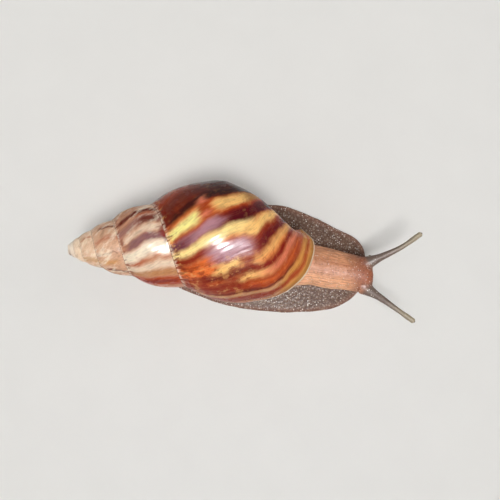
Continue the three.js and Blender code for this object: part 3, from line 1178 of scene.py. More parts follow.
class Graph:
    """Wires the nodes of one material or group, each fed by numbers, colours or other nodes."""

    def __init__(self, tree: bpy.types.NodeTree) -> None:
        """Starts on an existing tree."""
        self.tree = tree

    @staticmethod
    def feed(socket: Socket, value: Value) -> None:
        """Links a socket to another, or sets its own value.

        Args:
            socket: An input of a node.
            value: What it gets.
        """
        if isinstance(value, Socket):
            socket.id_data.links.new(value, socket)
        elif isinstance(value, tuple):
            socket.default_value = (*value, 1)
        else:
            socket.default_value = value

    def add(
        self, kind: str, inputs: dict[str | int, Value] | None = None, **settings: object
    ) -> bpy.types.Node:
        """Adds a node.

        Args:
            kind: Its type without the shader prefix.
            inputs: What feeds its sockets.
            settings: Its other values.

        Returns:
            The new node.
        """
        node = self.tree.nodes.new(f"ShaderNode{kind}")
        for name, setting in settings.items():
            setattr(node, name, setting)
        for name, value in (inputs or {}).items():
            self.feed(node.inputs[name], value)
        return node

    def math(self, operation: str, *values: Value) -> Socket:
        """Works out one number from others."""
        return self.add("Math", dict(enumerate(values)), operation=operation).outputs[0]

    def plus(self, first: Value, second: Value) -> Socket:
        """Adds two numbers."""
        return self.math("ADD", first, second)

    def minus(self, first: Value, second: Value) -> Socket:
        """Takes the second number from the first."""
        return self.math("SUBTRACT", first, second)

    def most(self, first: Value, second: Value) -> Socket:
        """The larger of two numbers."""
        return self.math("MAXIMUM", first, second)

    def times(self, first: Value, *others: Value) -> Socket:
        """Multiplies numbers.

        Args:
            first: One of them.
            others: The others.

        Returns:
            The product.
        """
        for other in others:
            first = self.math("MULTIPLY", first, other)
        return first

    def less(self, value: Value, share: float = 1.0, start: float = 1.0) -> Socket:
        """Takes a share of a number from the start."""
        return self.minus(start, value if share == 1.0 else self.times(value, share))

    def sway(self, cloud: Value, reach: float) -> Socket:
        """Turns cloudy numbers about a half into small ones about 0."""
        return self.times(self.minus(cloud, 0.5), reach)

    def mix(self, share: Value, first: Value, second: Value) -> Socket:
        """Blends two colours."""
        return self.add("Mix", {0: share, 6: first, 7: second}, data_type="RGBA").outputs[2]

    def rise(self, value: Value, low: Value, high: Value, start: Value = 0.0, end: Value = 1.0) -> Socket:
        """Goes smoothly from start to end while the value goes from low to high."""
        inputs = {"Value": value, "From Min": low, "From Max": high, "To Min": start, "To Max": end}
        return self.add("MapRange", inputs, interpolation_type="SMOOTHSTEP").outputs[0]

    def noise(self, vector: Value, scale: float, detail: float = 2.0, rough: float = 0.5) -> Socket:
        """Cloudy numbers from 0 to 1."""
        inputs = {"Vector": vector, "Scale": scale, "Detail": detail, "Roughness": rough}
        return self.add("TexNoise", inputs).outputs[0]

    def cells(self, vector: Value, scale: float) -> tuple[Socket, Socket]:
        """Distance from the middle of each of so many cells to a metre, and a colour for each cell."""
        pattern = self.add("TexVoronoi", {"Vector": vector, "Scale": scale})
        return pattern.outputs["Distance"], pattern.outputs["Color"]

    def vector(self, x: Value, y: Value, z: Value) -> Socket:
        """Puts three numbers together."""
        return self.add("CombineXYZ", {0: x, 1: y, 2: z}).outputs[0]

    def group(self, shared: bpy.types.NodeTree, inputs: dict[str, Value]) -> bpy.types.Node:
        """Places a shared effect.

        Args:
            shared: The effect.
            inputs: What feeds its sockets.

        Returns:
            Its node.
        """
        node = self.tree.nodes.new("ShaderNodeGroup")
        node.node_tree = shared
        for name, value in inputs.items():
            self.feed(node.inputs[name], value)
        return node


class Surface(Graph):
    """A new material with one surface, whose colour is laid on coat by coat."""

    def __init__(self, name: str) -> None:
        """Starts the material.

        Args:
            name: Its name.
        """
        self.material = bpy.data.materials.new(name)
        self.material.use_nodes = True
        super().__init__(self.material.node_tree)
        self.space = self.add("TexCoord").outputs["Object"]
        self.colour: Value = (1, 1, 1)

    def cover(self, mask: Value, tint: Value, depth: float = 1.0) -> None:
        """Lays a tint over the colour so far.

        Args:
            mask: Where, from 0 to 1.
            tint: The colour laid on.
            depth: How much of it shows where the mask is 1.
        """
        if depth < 1:
            tint = self.mix(depth, self.colour, tint)
        self.colour = self.mix(mask, self.colour, tint)

    def painted(self, name: str) -> Socket:
        """The numbers kept on the piece under a name."""
        return self.add("Attribute", attribute_name=name).outputs["Fac"]

    def bump(self, height: Value, strength: float, depth: float, **settings: object) -> Socket:
        """Normals tilted by a height, whose depth is in millimetres."""
        inputs = {"Height": height, "Strength": strength, "Distance": depth * MM}
        return self.add("Bump", inputs, **settings).outputs[0]

    def finish(self, sockets: dict[str, Value]) -> Material:
        """Feeds the surface.

        Args:
            sockets: What its sockets get besides the colour.

        Returns:
            The material.
        """
        shader = self.tree.nodes["Principled BSDF"]
        for name, value in {"Base Color": self.colour, **sockets}.items():
            self.feed(shader.inputs[name], value)
        return self.material


def shared_effect(
    name: str, inputs: dict[str, str], outputs: dict[str, str]
) -> tuple[Graph, dict[str, Socket], bpy.types.Node]:
    """Starts a shader node group.

    Args:
        name: Name of the effect.
        inputs: The kind of each input: Float, Color or Vector.
        outputs: The kind of each output.

    Returns:
        Its graph, its inputs as sockets to read, and the node that its outputs are fed to.
    """
    tree = bpy.data.node_groups.new(name, "ShaderNodeTree")
    for way, sockets in (("INPUT", inputs), ("OUTPUT", outputs)):
        for label, kind in sockets.items():
            tree.interface.new_socket(label, in_out=way, socket_type=f"NodeSocket{kind}")
    start = tree.nodes.new("NodeGroupInput")
    end = tree.nodes.new("NodeGroupOutput")
    return Graph(tree), {label: start.outputs[label] for label in inputs}, end


def paint_colour(red: int, green: int, blue: int) -> Colour:
    """A colour from a painter's card, 0 to 255 a channel, as light."""
    shares = (channel / 255 for channel in (red, green, blue))
    return tuple(share / 12.92 if share <= 0.04 else ((share + 0.055) / 1.055) ** 2.4 for share in shares)


CREAM = paint_colour(248, 231, 203)
# Pale lemon, partly a flame's own yellow and partly a painted highlight.
LEMON = paint_colour(255, 243, 152)
# Pale gold, partly a flame's own colour and partly a painted highlight.
PALE_GOLD = paint_colour(255, 228, 150)
APRICOT = paint_colour(255, 203, 124)
GOLD = paint_colour(216, 150, 74)
AMBER = paint_colour(236, 172, 100)
OCHRE = paint_colour(180, 124, 60)
SALMON = paint_colour(242, 138, 104)
ORANGE = paint_colour(232, 116, 54)
RUST = paint_colour(176, 66, 30)
RED_BROWN = paint_colour(136, 33, 22)
MAROON = paint_colour(94, 19, 30)
CHESTNUT = paint_colour(110, 40, 27)
DARK = paint_colour(46, 20, 20)
MAUVE = paint_colour(136, 92, 98)
# Painted glare: maroon flames as they look under the highlight.
ROSE_GLARE = paint_colour(180, 128, 138)
OLIVE = paint_colour(150, 106, 50)
TAN = paint_colour(206, 162, 116)
TAN_BROWN = paint_colour(150, 104, 72)


@dataclass(frozen=True)
class Flame:
    """One flame or stripe of the shell, laid down along a growth line."""

    colour: Colour
    start: float  # turns at its first edge, halfway between two sutures
    end: float
    low: float = -0.3  # how far across it starts
    high: float = 2.4  # and stops
    weight: float = 1.0
    lean: float = 0.0  # turns it slants on from one suture to the next
    soft: float = 0.005
    taper: float = 0.07  # how gently it starts and stops across

    def meets(self, first: float, last: float) -> bool:
        """Whether it lies at least partly between two growth lines."""
        return self.end > first and self.start < last


def flame_effect() -> bpy.types.NodeTree:
    """Makes the effect that lays one flame over a colour.

    Returns:
        The effect.
    """
    numbers = ("Turns", "Across", "Start", "End", "Low", "High", "Weight", "Lean", "Soft", "Taper")
    inputs = {"Below": "Color", "Colour": "Color", **dict.fromkeys(numbers, "Float")}
    g, given, end = shared_effect("flame", inputs, {"Colour": "Color"})

    def between(value: Socket, low: Socket, high: Socket, soft: Socket) -> Socket:
        """Rises across one edge and falls across another, each twice as wide as it is soft."""
        first, second = (g.rise(value, g.minus(edge, soft), g.plus(edge, soft)) for edge in (low, high))
        return g.minus(first, second)

    slant = g.times(given["Lean"], g.minus(given["Across"], 0.5))
    along = between(g.minus(given["Turns"], slant), given["Start"], given["End"], given["Soft"])
    over = between(given["Across"], given["Low"], given["High"], given["Taper"])
    mask = g.times(along, over, given["Weight"])
    g.feed(end.inputs["Colour"], g.mix(mask, given["Below"], given["Colour"]))
    return g.tree


class GrowthSurface(Surface):
    """A surface that also knows its place in the shell's growth."""

    def __init__(self, name: str) -> None:
        """Starts the material.

        Args:
            name: Its name.
        """
        super().__init__(name)
        growth = self.add("SeparateXYZ", {0: self.add("UVMap", uv_map="Growth").outputs[0]})
        self.turns, self.across = growth.outputs[0], growth.outputs[1]

    def cloud(
        self, along: float, crosswise: float, layer: float, detail: float, rough: float = 0.5
    ) -> Socket:
        """Cloudy numbers, so many along a turn and crosswise from a suture to the next."""
        place = self.vector(self.times(self.turns, along), self.times(self.across, crosswise), layer)
        return self.noise(place, 1.0, detail, rough)


@dataclass(frozen=True)
class ShellFinish:
    """Glossy shell: dark flames on gold round the last whorl, paler and plainer towards the apex."""

    roughness: float = 0.23
    specular: float = 0.08
    coat: float = 0.03
    coat_roughness: float = 0.1
    bump: float = 0.07
    lining: Colour = paint_colour(226, 204, 176)
    # The colour under the flames: turns, and the colour there.
    ground: tuple[tuple[float, Colour], ...] = (
        (-5.2, paint_colour(246, 236, 222)),
        (-4.4, paint_colour(242, 220, 196)),
        (-3.4, paint_colour(239, 208, 176)),
        (-1.5, paint_colour(236, 204, 171)),
        (-0.55, paint_colour(214, 172, 132)),
        (-0.42, ORANGE),
        (0.6, paint_colour(186, 96, 50)),
    )
    ramp: tuple[float, float] = (-5.5, 6.2)  # turns where the ramp of those colours starts, and its length
    ages: tuple[float, ...] = (-9.0, -1.5, -0.45)  # where each of the shell's materials starts, in turns
    reach: float = 0.14  # how far a flame's lean and waver can carry it, in turns
    flames: tuple[Flame, ...] = (
        # Last whorl, on its far side and under it.
        Flame(MAROON, -0.41, -0.36, lean=0.02), Flame(GOLD, -0.355, -0.325, soft=0.01),
        Flame(MAROON, -0.30, -0.26, lean=0.03), Flame(RUST, -0.24, -0.215, 0.2),
        Flame(MAROON, -0.19, -0.13, lean=0.02), Flame(GOLD, -0.125, -0.10, soft=0.01),
        Flame(RED_BROWN, -0.08, -0.05, lean=0.03), Flame(MAROON, -0.02, 0.03, lean=0.03),
        # The broad dark patch, with a rusty streak.
        Flame(CHESTNUT, 0.035, 0.215, soft=0.012),
        Flame(DARK, 0.10, 0.23, 0.62, 1.9, 0.8, soft=0.02, taper=0.2),
        Flame(RUST, 0.05, 0.13, high=0.5, weight=0.6, soft=0.02, taper=0.2),
        Flame(DARK, 0.192, 0.222, 0.1, weight=0.8, soft=0.008),
        # A bright flame that is broken halfway.
        Flame(ORANGE, 0.217, 0.27, high=0.5, weight=0.8, soft=0.008),
        # Its lemon yellow is partly the flame's own and partly painted highlight.
        Flame(LEMON, 0.228, 0.26, 0.02, 0.47, soft=0.01, taper=0.1),
        Flame(RUST, 0.214, 0.268, 0.46, 0.66, 0.9, taper=0.05), Flame(SALMON, 0.2, 0.222, 0.48, 0.58, 0.8),
        Flame(SALMON, 0.246, 0.26, 0.44, 0.6, 0.7, soft=0.007),
        Flame(ORANGE, 0.222, 0.266, 0.62, 1.2, 0.8, soft=0.01),
        Flame(APRICOT, 0.226, 0.26, 0.66, 1.2, soft=0.009),
        Flame(OCHRE, 0.222, 0.264, 1.1, soft=0.01, taper=0.15),
        # Maroon, with painted rose where the highlight's glare lies on it.
        Flame(RUST, 0.26, 0.28, 0.1, 0.5, 0.7, soft=0.01),
        Flame(ROSE_GLARE, 0.272, 0.296, high=0.8, soft=0.009, taper=0.15),
        Flame(MAROON, 0.27, 0.3, high=0.24, weight=0.8, soft=0.012, taper=0.15),
        Flame(MAROON, 0.29, 0.308, 0.55, 0.85, 0.6, soft=0.008, taper=0.1),
        Flame(RUST, 0.256, 0.276, 0.68, soft=0.008), Flame(MAROON, 0.266, 0.304, 0.7, soft=0.008, taper=0.15),
        Flame(DARK, 0.276, 0.298, 0.8, 1.6, 0.3, soft=0.012, taper=0.2),
        Flame(ORANGE, 0.304, 0.344, weight=0.7, soft=0.01, taper=0.15),
        # Pale gold here is partly painted highlight, where the bright spot lies.
        Flame(PALE_GOLD, 0.3, 0.328, high=1.0, soft=0.01, taper=0.15),
        Flame(APRICOT, 0.308, 0.336, 0.82, soft=0.009, taper=0.2),
        Flame(RED_BROWN, 0.326, 0.348, high=0.5, weight=0.9, soft=0.008),
        # Painted glare again: this rose stands for maroon under the highlight.
        Flame(ROSE_GLARE, 0.338, 0.376, 0.36, 0.95, soft=0.01, taper=0.12),
        Flame(RED_BROWN, 0.337, 0.378, 0.92, weight=0.9, soft=0.01, taper=0.12),
        Flame(MAROON, 0.352, 0.372, 0.98, weight=0.8, soft=0.007, taper=0.15),
        Flame(ORANGE, 0.352, 0.404, high=0.42, soft=0.008, taper=0.1),
        Flame(RUST, 0.35, 0.372, high=0.3, weight=0.5, soft=0.007),
        # Amber and salmon flames between rusty ones, more and more of them towards the lip.
        Flame(APRICOT, 0.38, 0.404, 0.42, 0.7, soft=0.009, taper=0.08),
        Flame(RED_BROWN, 0.374, 0.396, 0.72, 0.88, 0.6, soft=0.012),
        Flame(AMBER, 0.38, 0.406, 0.88, 1.1, 0.8, soft=0.01),
        Flame(AMBER, 0.376, 0.4, 1.0, 1.75, soft=0.01, taper=0.1),
        Flame(ORANGE, 0.392, 0.412, 0.95, 1.5, 0.5, soft=0.008),
        Flame(RUST, 0.402, 0.436, high=0.36, weight=0.8, soft=0.012),
        Flame(ORANGE, 0.418, 0.432, 0.24, 0.42, 0.7, soft=0.01),
        Flame(MAROON, 0.404, 0.422, 0.2, 0.9, 0.8, soft=0.01, taper=0.12),
        Flame(RED_BROWN, 0.404, 0.422, 0.84, 1.7, soft=0.008),
        Flame(RED_BROWN, 0.43, 0.472, high=0.8, weight=0.8, soft=0.012, taper=0.15),
        Flame(APRICOT, 0.424, 0.442, 0.68, 1.05, soft=0.01, taper=0.12),
        Flame(SALMON, 0.424, 0.44, 0.9, 1.7, 0.7, soft=0.009, taper=0.15),
        Flame(RUST, 0.44, 0.474, 0.7, 1.8, 0.8, soft=0.01),
        Flame(ORANGE, 0.452, 0.458, 0.8, 1.7, 0.55, soft=0.006),
        Flame(CHESTNUT, 0.47, 0.481, 0.3, 1.4, soft=0.005, taper=0.15),
        Flame(TAN, 0.483, 0.498, 0.1, 1.3, 0.85, soft=0.006, taper=0.15),
        Flame(GOLD, 0.482, 0.506, 1.1, 1.9, soft=0.01, taper=0.15),
        Flame(RED_BROWN, 0.497, 0.534, high=1.4, weight=0.85, soft=0.01, taper=0.2),
        Flame(RUST, 0.5, 0.528, 1.1, 1.9, 0.7, soft=0.009),
        Flame(GOLD, 0.516, 0.54, 1.0, weight=0.85, soft=0.008, taper=0.15),
        Flame(OCHRE, 0.53, 0.546, high=1.15, weight=0.5, soft=0.007, taper=0.2),
        # The whorl before it.
        Flame(CHESTNUT, -1.42, -1.38, lean=0.05), Flame(RUST, -1.30, -1.27, lean=0.05, weight=0.8),
        Flame(MAUVE, -1.21, -1.17, lean=0.05), Flame(CHESTNUT, -1.09, -1.05, lean=0.05),
        Flame(RUST, -0.985, -0.95, lean=0.05, weight=0.8),
        Flame(OCHRE, -0.95, -0.89, weight=0.6, lean=0.05, soft=0.02),
        Flame(CHESTNUT, -0.842, -0.815, 0.08, lean=0.04, soft=0.008),
        Flame(RUST, -0.812, -0.8, 0.45, 1.0, 0.7, lean=0.03),
        Flame(MAUVE, -0.795, -0.758, lean=0.03, weight=0.65, soft=0.012),
        Flame(CHESTNUT, -0.785, -0.757, 0.5, 0.95, 0.85, lean=0.02, soft=0.008, taper=0.12),
        Flame(CREAM, -0.748, -0.722, 0.1, weight=0.65, lean=0.03, soft=0.012),
        Flame(MAUVE, -0.716, -0.687, 0.12, lean=0.03, weight=0.9, soft=0.008, taper=0.1),
        Flame(RED_BROWN, -0.735, -0.69, 0.9, 1.05, 0.8, lean=0.02),
        # Cream here is partly a pale band and partly the painted highlight on this whorl.
        Flame(CREAM, -0.682, -0.638, lean=0.02, soft=0.013),
        Flame(RUST, -0.634, -0.61, 0.08, 0.42, 0.75, lean=0.03, soft=0.01, taper=0.2),
        Flame(CREAM, -0.612, -0.58, weight=0.7, lean=0.02, soft=0.012),
        Flame(OCHRE, -0.578, -0.552, weight=0.5, lean=0.03, soft=0.012),
        Flame(RUST, -0.542, -0.486, 0.08, lean=0.03, soft=0.01),
        Flame(RED_BROWN, -0.526, -0.506, 0.2, 0.95, 0.9, lean=0.03, soft=0.007),
        # And the one before that.
        Flame(CHESTNUT, -1.83, -1.808, 0.3, weight=0.75, lean=0.07),
        Flame(RUST, -1.75, -1.725, 0.05, weight=0.45, lean=0.06, soft=0.01),
        Flame(CHESTNUT, -1.65, -1.642, 0.05, 0.85, 0.6, lean=0.06),
        Flame(GOLD, -1.605, -1.572, high=0.75, weight=0.6, lean=0.05, soft=0.01, taper=0.2),
        Flame(CHESTNUT, -1.537, -1.52, 0.25, weight=0.9, lean=0.07),
        Flame(RUST, -2.8, -2.78, weight=0.5, lean=0.06),
        Flame(OCHRE, -2.6, -2.55, weight=0.5, lean=0.06, soft=0.01),
        Flame(RUST, -2.49, -2.475, weight=0.5, lean=0.06),
    )

    def materials(self) -> list[Material]:
        """Makes a material for each age of the shell, with only the flames that come near it.

        Returns:
            The materials, from the oldest age on.
        """
        effect = flame_effect()
        ends = (*self.ages[1:], 9.0)
        return [
            self.material(effect, [f for f in self.flames if f.meets(first - self.reach, last + self.reach)])
            for first, last in zip(self.ages, ends)
        ]

    def material(self, effect: bpy.types.NodeTree, flames: Sequence[Flame]) -> Material:
        """Makes one material.

        Args:
            effect: The shared effect that lays a flame.
            flames: Its flames, laid one over another in this order.

        Returns:
            The material.
        """
        g = GrowthSurface("shell_gloss")
        self.lay_ground(g)
        self.lay_flames(g, effect, flames)
        self.streak(g)
        # Fine growth lines, here lighter and there darker, and small spots of rust.
        lines = g.cloud(260.0, 5.0, 8.0, 3.0, 0.65)
        g.cover(g.rise(lines, 0.42, 0.7, 0.0, 0.45), DARK, 0.55)
        g.cover(g.rise(lines, 0.5, 0.25, 0.0, 0.25), GOLD, 0.35)
        spots = g.noise(g.space, 420.0, 3.0, 0.6)
        g.cover(g.rise(spots, 0.55, 0.75, 0.0, 0.3), RUST, 0.7)
        self.edge_whorls(g)
        self.paint_lip(g)
        dull = g.noise(g.space, 160.0, 4.0, 0.6)
        return g.finish({
            "Roughness": g.rise(dull, 0.35, 0.7, self.roughness - 0.06, self.roughness + 0.14),
            "Specular IOR Level": self.specular,
            "Coat Weight": self.coat,
            "Coat Roughness": self.coat_roughness,
            "Normal": g.bump(g.plus(g.times(lines, 0.7), g.times(spots, 0.3)), 0.4, self.bump),
        })

    def lay_ground(self, g: GrowthSurface) -> None:
        """Lays the colour under the flames, cream at the apex and golden on the last whorl.

        Args:
            g: The material.
        """
        start, length = self.ramp
        ramp = g.add("ValToRGB", {0: g.math("DIVIDE", g.plus(g.turns, -start), length)})
        stops = ramp.color_ramp.elements
        for k, (turns, colour) in enumerate(self.ground):
            stop = stops[k] if k < 2 else stops.new(0.5)
            stop.position = (turns - start) / length
            stop.color = (*colour, 1)
        g.colour = ramp.outputs[0]

    @staticmethod
    def lay_flames(g: GrowthSurface, effect: bpy.types.NodeTree, flames: Sequence[Flame]) -> None:
        """Lays the flames, which waver a little, and more beyond the widest part of the whorl.

        Args:
            g: The material.
            effect: The shared effect that lays one of them.
            flames: The flames in order.
        """
        ragged = g.cloud(26.0, 4.5, 0.0, 3.0)
        slow = g.cloud(6.0, 2.2, 4.0, 1.0)
        bent = g.times(g.rise(g.across, 0.5, 1.5), 0.03)
        turns = g.plus(g.minus(g.turns, bent), g.plus(g.sway(ragged, 0.024), g.sway(slow, 0.012)))
        across = g.plus(g.across, g.sway(g.cloud(55.0, 1.0, 6.0, 2.0), 0.3))
        for flame in flames:
            inputs = {name.title(): value for name, value in asdict(flame).items()}
            inputs |= {"Below": g.colour, "Turns": turns, "Across": across}
            g.colour = g.group(effect, inputs).outputs[0]

    @staticmethod
    def streak(g: GrowthSurface) -> None:
        """Streaks the spire with cream and tan, and breaks up the flames of the last whorl.

        Args:
            g: The material.
        """
        pale = g.cloud(21.0, 1.6, 12.0, 4.0, 0.65)
        spire = g.rise(g.turns, -0.45, -0.8)
        g.cover(g.times(g.rise(pale, 0.48, 0.66, 0.0, 0.75), spire), CREAM)
        g.cover(g.times(g.rise(pale, 0.47, 0.3, 0.0, 0.8), spire), TAN_BROWN, 0.6)
        # Rust and gold show most of all near the suture before the lip.
        streaks = g.cloud(62.0, 9.0, 6.0, 4.0, 0.6)
        patch = g.cloud(9.0, 3.0, 9.0, 2.0)
        worn = g.times(g.rise(g.turns, 0.345, 0.39), g.rise(g.turns, 0.5, 0.46), g.rise(g.across, 1.15, 0.6))
        worn = g.most(worn, g.rise(g.across, 0.14, 0.05))
        reach = g.plus(g.rise(patch, 0.4, 0.7, 0.06, 0.35), g.times(worn, 0.75))
        reach = g.times(g.rise(g.turns, -0.5, -0.4), reach)
        g.cover(g.times(g.rise(streaks, 0.5, 0.6), reach), RED_BROWN, 0.75)
        g.cover(g.times(g.rise(streaks, 0.46, 0.36), reach, 0.7), AMBER, 0.7)

    @staticmethod
    def edge_whorls(g: GrowthSurface) -> None:
        """Crinkles the edge, here pale and there dark, where each whorl meets the one before.

        Args:
            g: The material.
        """
        crinkle = g.cloud(70.0, 6.0, 2.0, 3.0, 0.6)
        edge = g.plus(g.across, g.sway(crinkle, 0.12))
        wound = g.rise(g.turns, -4.9, -4.5)
        g.cover(g.times(g.rise(edge, 0.05, 0.01), g.rise(crinkle, 0.42, 0.56, 0.1, 0.7)), CREAM)
        stained = g.times(g.rise(edge, 0.12, 0.04), g.rise(crinkle, 0.5, 0.4, 0.0, 0.6), wound)
        g.cover(g.times(stained, g.rise(g.turns, -1.3, -0.7, 0.35, 1.0)), CHESTNUT)
        seam = g.rise(g.across, g.rise(g.turns, -0.9, -1.2, 0.012, 0.03), 0.002)
        g.cover(g.times(seam, wound, 0.65), CHESTNUT)

    def paint_lip(self, g: GrowthSurface) -> None:
        """Gives the lip an olive band and a pale edge, and pales the wall inside the mouth.

        Args:
            g: The material.
        """
        g.cover(g.times(g.rise(g.turns, 0.55, 0.561, 0.0, 0.6), g.rise(g.across, 0.3, 0.9)), OLIVE)
        g.cover(g.rise(g.turns, 0.5665, 0.5695, 0.0, 0.85), self.lining)
        g.cover(g.times(g.painted("inside"), 0.85), self.lining)


@dataclass(frozen=True)
class SkinFinish:
    """Moist warted skin, orange-tan on the neck, rust on the head and mauve brown on the foot."""

    neck: Colour = paint_colour(246, 182, 140)
    # A darker copy of the neck's colour: painted shade for the neck's left side.
    neck_left: Colour = paint_colour(226, 160, 118)
    head: Colour = paint_colour(166, 98, 70)
    foot: Colour = paint_colour(109, 83, 69)
    margin: Colour = paint_colour(136, 98, 82)
    collar: Colour = paint_colour(150, 116, 96)
    lips: Colour = paint_colour(178, 128, 108)
    tentacle: Colour = paint_colour(118, 100, 90)
    tip: Colour = paint_colour(162, 148, 122)
    # Colour of the painted glints on the wet skin.
    bead: Colour = paint_colour(250, 238, 226)
    specular: float = 0.09
    coat: float = 0.02
    coat_roughness: float = 0.22
    bump: float = 0.12
    pores: float = 1900.0  # cells to a metre
    grains: float = 1500.0
    beads: float = 1750.0
    regions: tuple[str, ...] = (
        "neck", "head", "margin", "collar", "lips", "slit", "tentacle", "reach", "wart", "along", "around"
    )

    def material(self) -> Material:
        """Makes the material.

        Returns:
            The material.
        """
        g = Surface("moist_skin")
        mask = {name: g.painted(name) for name in self.regions}
        self.lay_regions(g, mask)
        blotches = g.noise(g.space, 260.0, 4.0, 0.6)
        g.cover(g.rise(blotches, 0.4, 0.7, 0.0, 0.35), DARK, 0.55)
        # Fine furrows run the length of the neck, fewer along its back.
        lengthwise = g.times(mask["neck"], g.less(mask["head"]), g.less(mask["collar"]))
        stretched = g.vector(g.times(mask["along"], 0.11), g.times(mask["around"], 2.1), 0.0)
        strands = g.noise(stretched, 1.0, 3.0, 0.6)
        # Painted shade: the furrows are darkened red-brown.
        g.cover(g.times(g.rise(strands, 0.5, 0.64, 0.0, 0.6), lengthwise), RED_BROWN, 0.6)
        rough = g.less(g.most(mask["tentacle"], mask["collar"]), 0.75)
        rough = g.times(rough, g.less(lengthwise, 0.35))
        # Painted shade in the furrows between the warts.
        g.cover(g.times(g.rise(mask["wart"], 0.55, 0.0, 0.0, 0.6), rough), DARK, 0.6)
        # The warts' tops are paled, partly their own paler tips and partly a painted highlight of wet skin.
        g.cover(g.times(g.rise(mask["wart"], 0.6, 1.0, 0.0, 0.3), rough), CREAM, 0.4)
        # Painted shade: the mouth's opening is painted dark on the closed skin.
        g.cover(g.times(mask["slit"], 0.8), DARK)
        self.speckle(g, mask, rough)
        self.scatter_beads(g, mask)
        pores = g.times(g.cells(g.space, self.pores)[0], g.less(lengthwise, 0.5))
        height = g.plus(pores, g.times(strands, lengthwise, 1.4))
        return g.finish({
            "Roughness": g.rise(blotches, 0.3, 0.7, 0.42, 0.6),
            "Specular IOR Level": self.specular,
            "Coat Weight": self.coat,
            "Coat Roughness": self.coat_roughness,
            "Normal": g.bump(height, 0.5, self.bump, invert=True),
        })

    def lay_regions(self, g: Surface, mask: dict[str, Socket]) -> None:
        """Colours each part of the animal; the trunk's flanks are as brown as the foot.

        Args:
            g: The material.
            mask: The animal's regions.
        """
        g.colour = g.mix(mask["margin"], self.foot, self.margin)
        glow = g.times(mask["neck"], g.rise(mask["along"], 7.0, 15.0, 0.2, 1.0))
        # The neck's left side gets painted shade.
        g.cover(glow, g.mix(g.rise(mask["around"], -3.5, 4.0), self.neck, self.neck_left))
        g.cover(mask["head"], self.head)
        g.cover(mask["collar"], self.collar)
        g.cover(mask["tentacle"], g.mix(g.rise(mask["reach"], 0.35, 1.0), self.tentacle, self.tip))
        g.cover(mask["lips"], self.lips)

    def speckle(self, g: Surface, mask: dict[str, Socket], rough: Socket) -> None:
        """Browns and speckles the head and the back of the neck.

        Args:
            g: The material.
            mask: The animal's regions.
            rough: Where the skin is warted.
        """
        ridge = g.times(g.rise(g.math("ABSOLUTE", mask["around"]), 4.6, 1.8), mask["neck"])
        browner = g.times(ridge, ridge, g.rise(mask["along"], 8.0, 26.0, 0.1, 0.5))
        g.cover(g.times(browner, g.less(mask["tentacle"])), self.head)
        speckled = g.times(g.most(mask["head"], ridge), rough)
        distance, own = g.cells(g.space, self.grains)
        picked = g.add("SeparateColor", {0: own}).outputs["Green"]
        grain = g.times(g.rise(distance, 0.55, 0.12, 0.0, 0.75), speckled)
        g.cover(g.times(grain, g.rise(picked, 0.45, 0.6)), DARK, 0.7)

    def scatter_beads(self, g: Surface, mask: dict[str, Socket]) -> None:
        """Scatters painted glints, small pale dots that stand for light caught by drops of slime.

        Args:
            g: The material.
            mask: The animal's regions.
        """
        distance, own = g.cells(g.space, self.beads)
        picked = g.rise(g.add("SeparateColor", {0: own}).outputs["Red"], 0.56, 0.74)
        patchy = g.rise(g.noise(g.space, 330.0, 1.0), 0.36, 0.6, 0.15, 1.0)
        bead = g.times(g.rise(distance, 0.44, 0.14), picked, patchy)
        dry = g.most(mask["collar"], g.times(mask["tentacle"], g.rise(mask["reach"], 0.1, 0.4)))
        # Painted highlights: pale glints laid into the skin's colour.
        g.cover(g.times(bead, g.less(dry, 0.75, 0.85), g.less(mask["neck"], 0.35)), self.bead)


@dataclass(frozen=True)
class EyeFinish:
    """Wet black eye, clouded with brown."""

    black: Colour = paint_colour(20, 14, 12)
    brown: Colour = paint_colour(46, 32, 26)
    coat: float = 0.5

    def material(self) -> Material:
        """Makes the material.

        Returns:
            The material.
        """
        g = Surface("eye_wet")
        cloud = g.noise(g.space, 2500.0)
        g.colour = g.mix(cloud, self.black, self.brown)
        return g.finish({"Roughness": g.rise(cloud, 0.3, 0.7, 0.08, 0.2), "Coat Weight": self.coat})


@dataclass(frozen=True)
class FloorFinish:
    """Pale matt paper."""

    light: Colour = paint_colour(218, 216, 212)
    shade: Colour = paint_colour(213, 211, 207)
    roughness: float = 0.8
    specular: float = 0.1

    def material(self) -> Material:
        """Makes the material.

        Returns:
            The material.
        """
        g = Surface("floor_paper")
        g.colour = g.mix(g.noise(g.space, 60.0), self.shade, self.light)
        return g.finish({"Roughness": self.roughness, "Specular IOR Level": self.specular})


@dataclass(frozen=True)
class Sunlight:
    """Soft light that falls evenly on all of the floor."""

    name: str
    source: Point  # where it comes from, seen from the origin
    spread: float  # how wide it looks, in degrees
    strength: float  # in watts a square metre


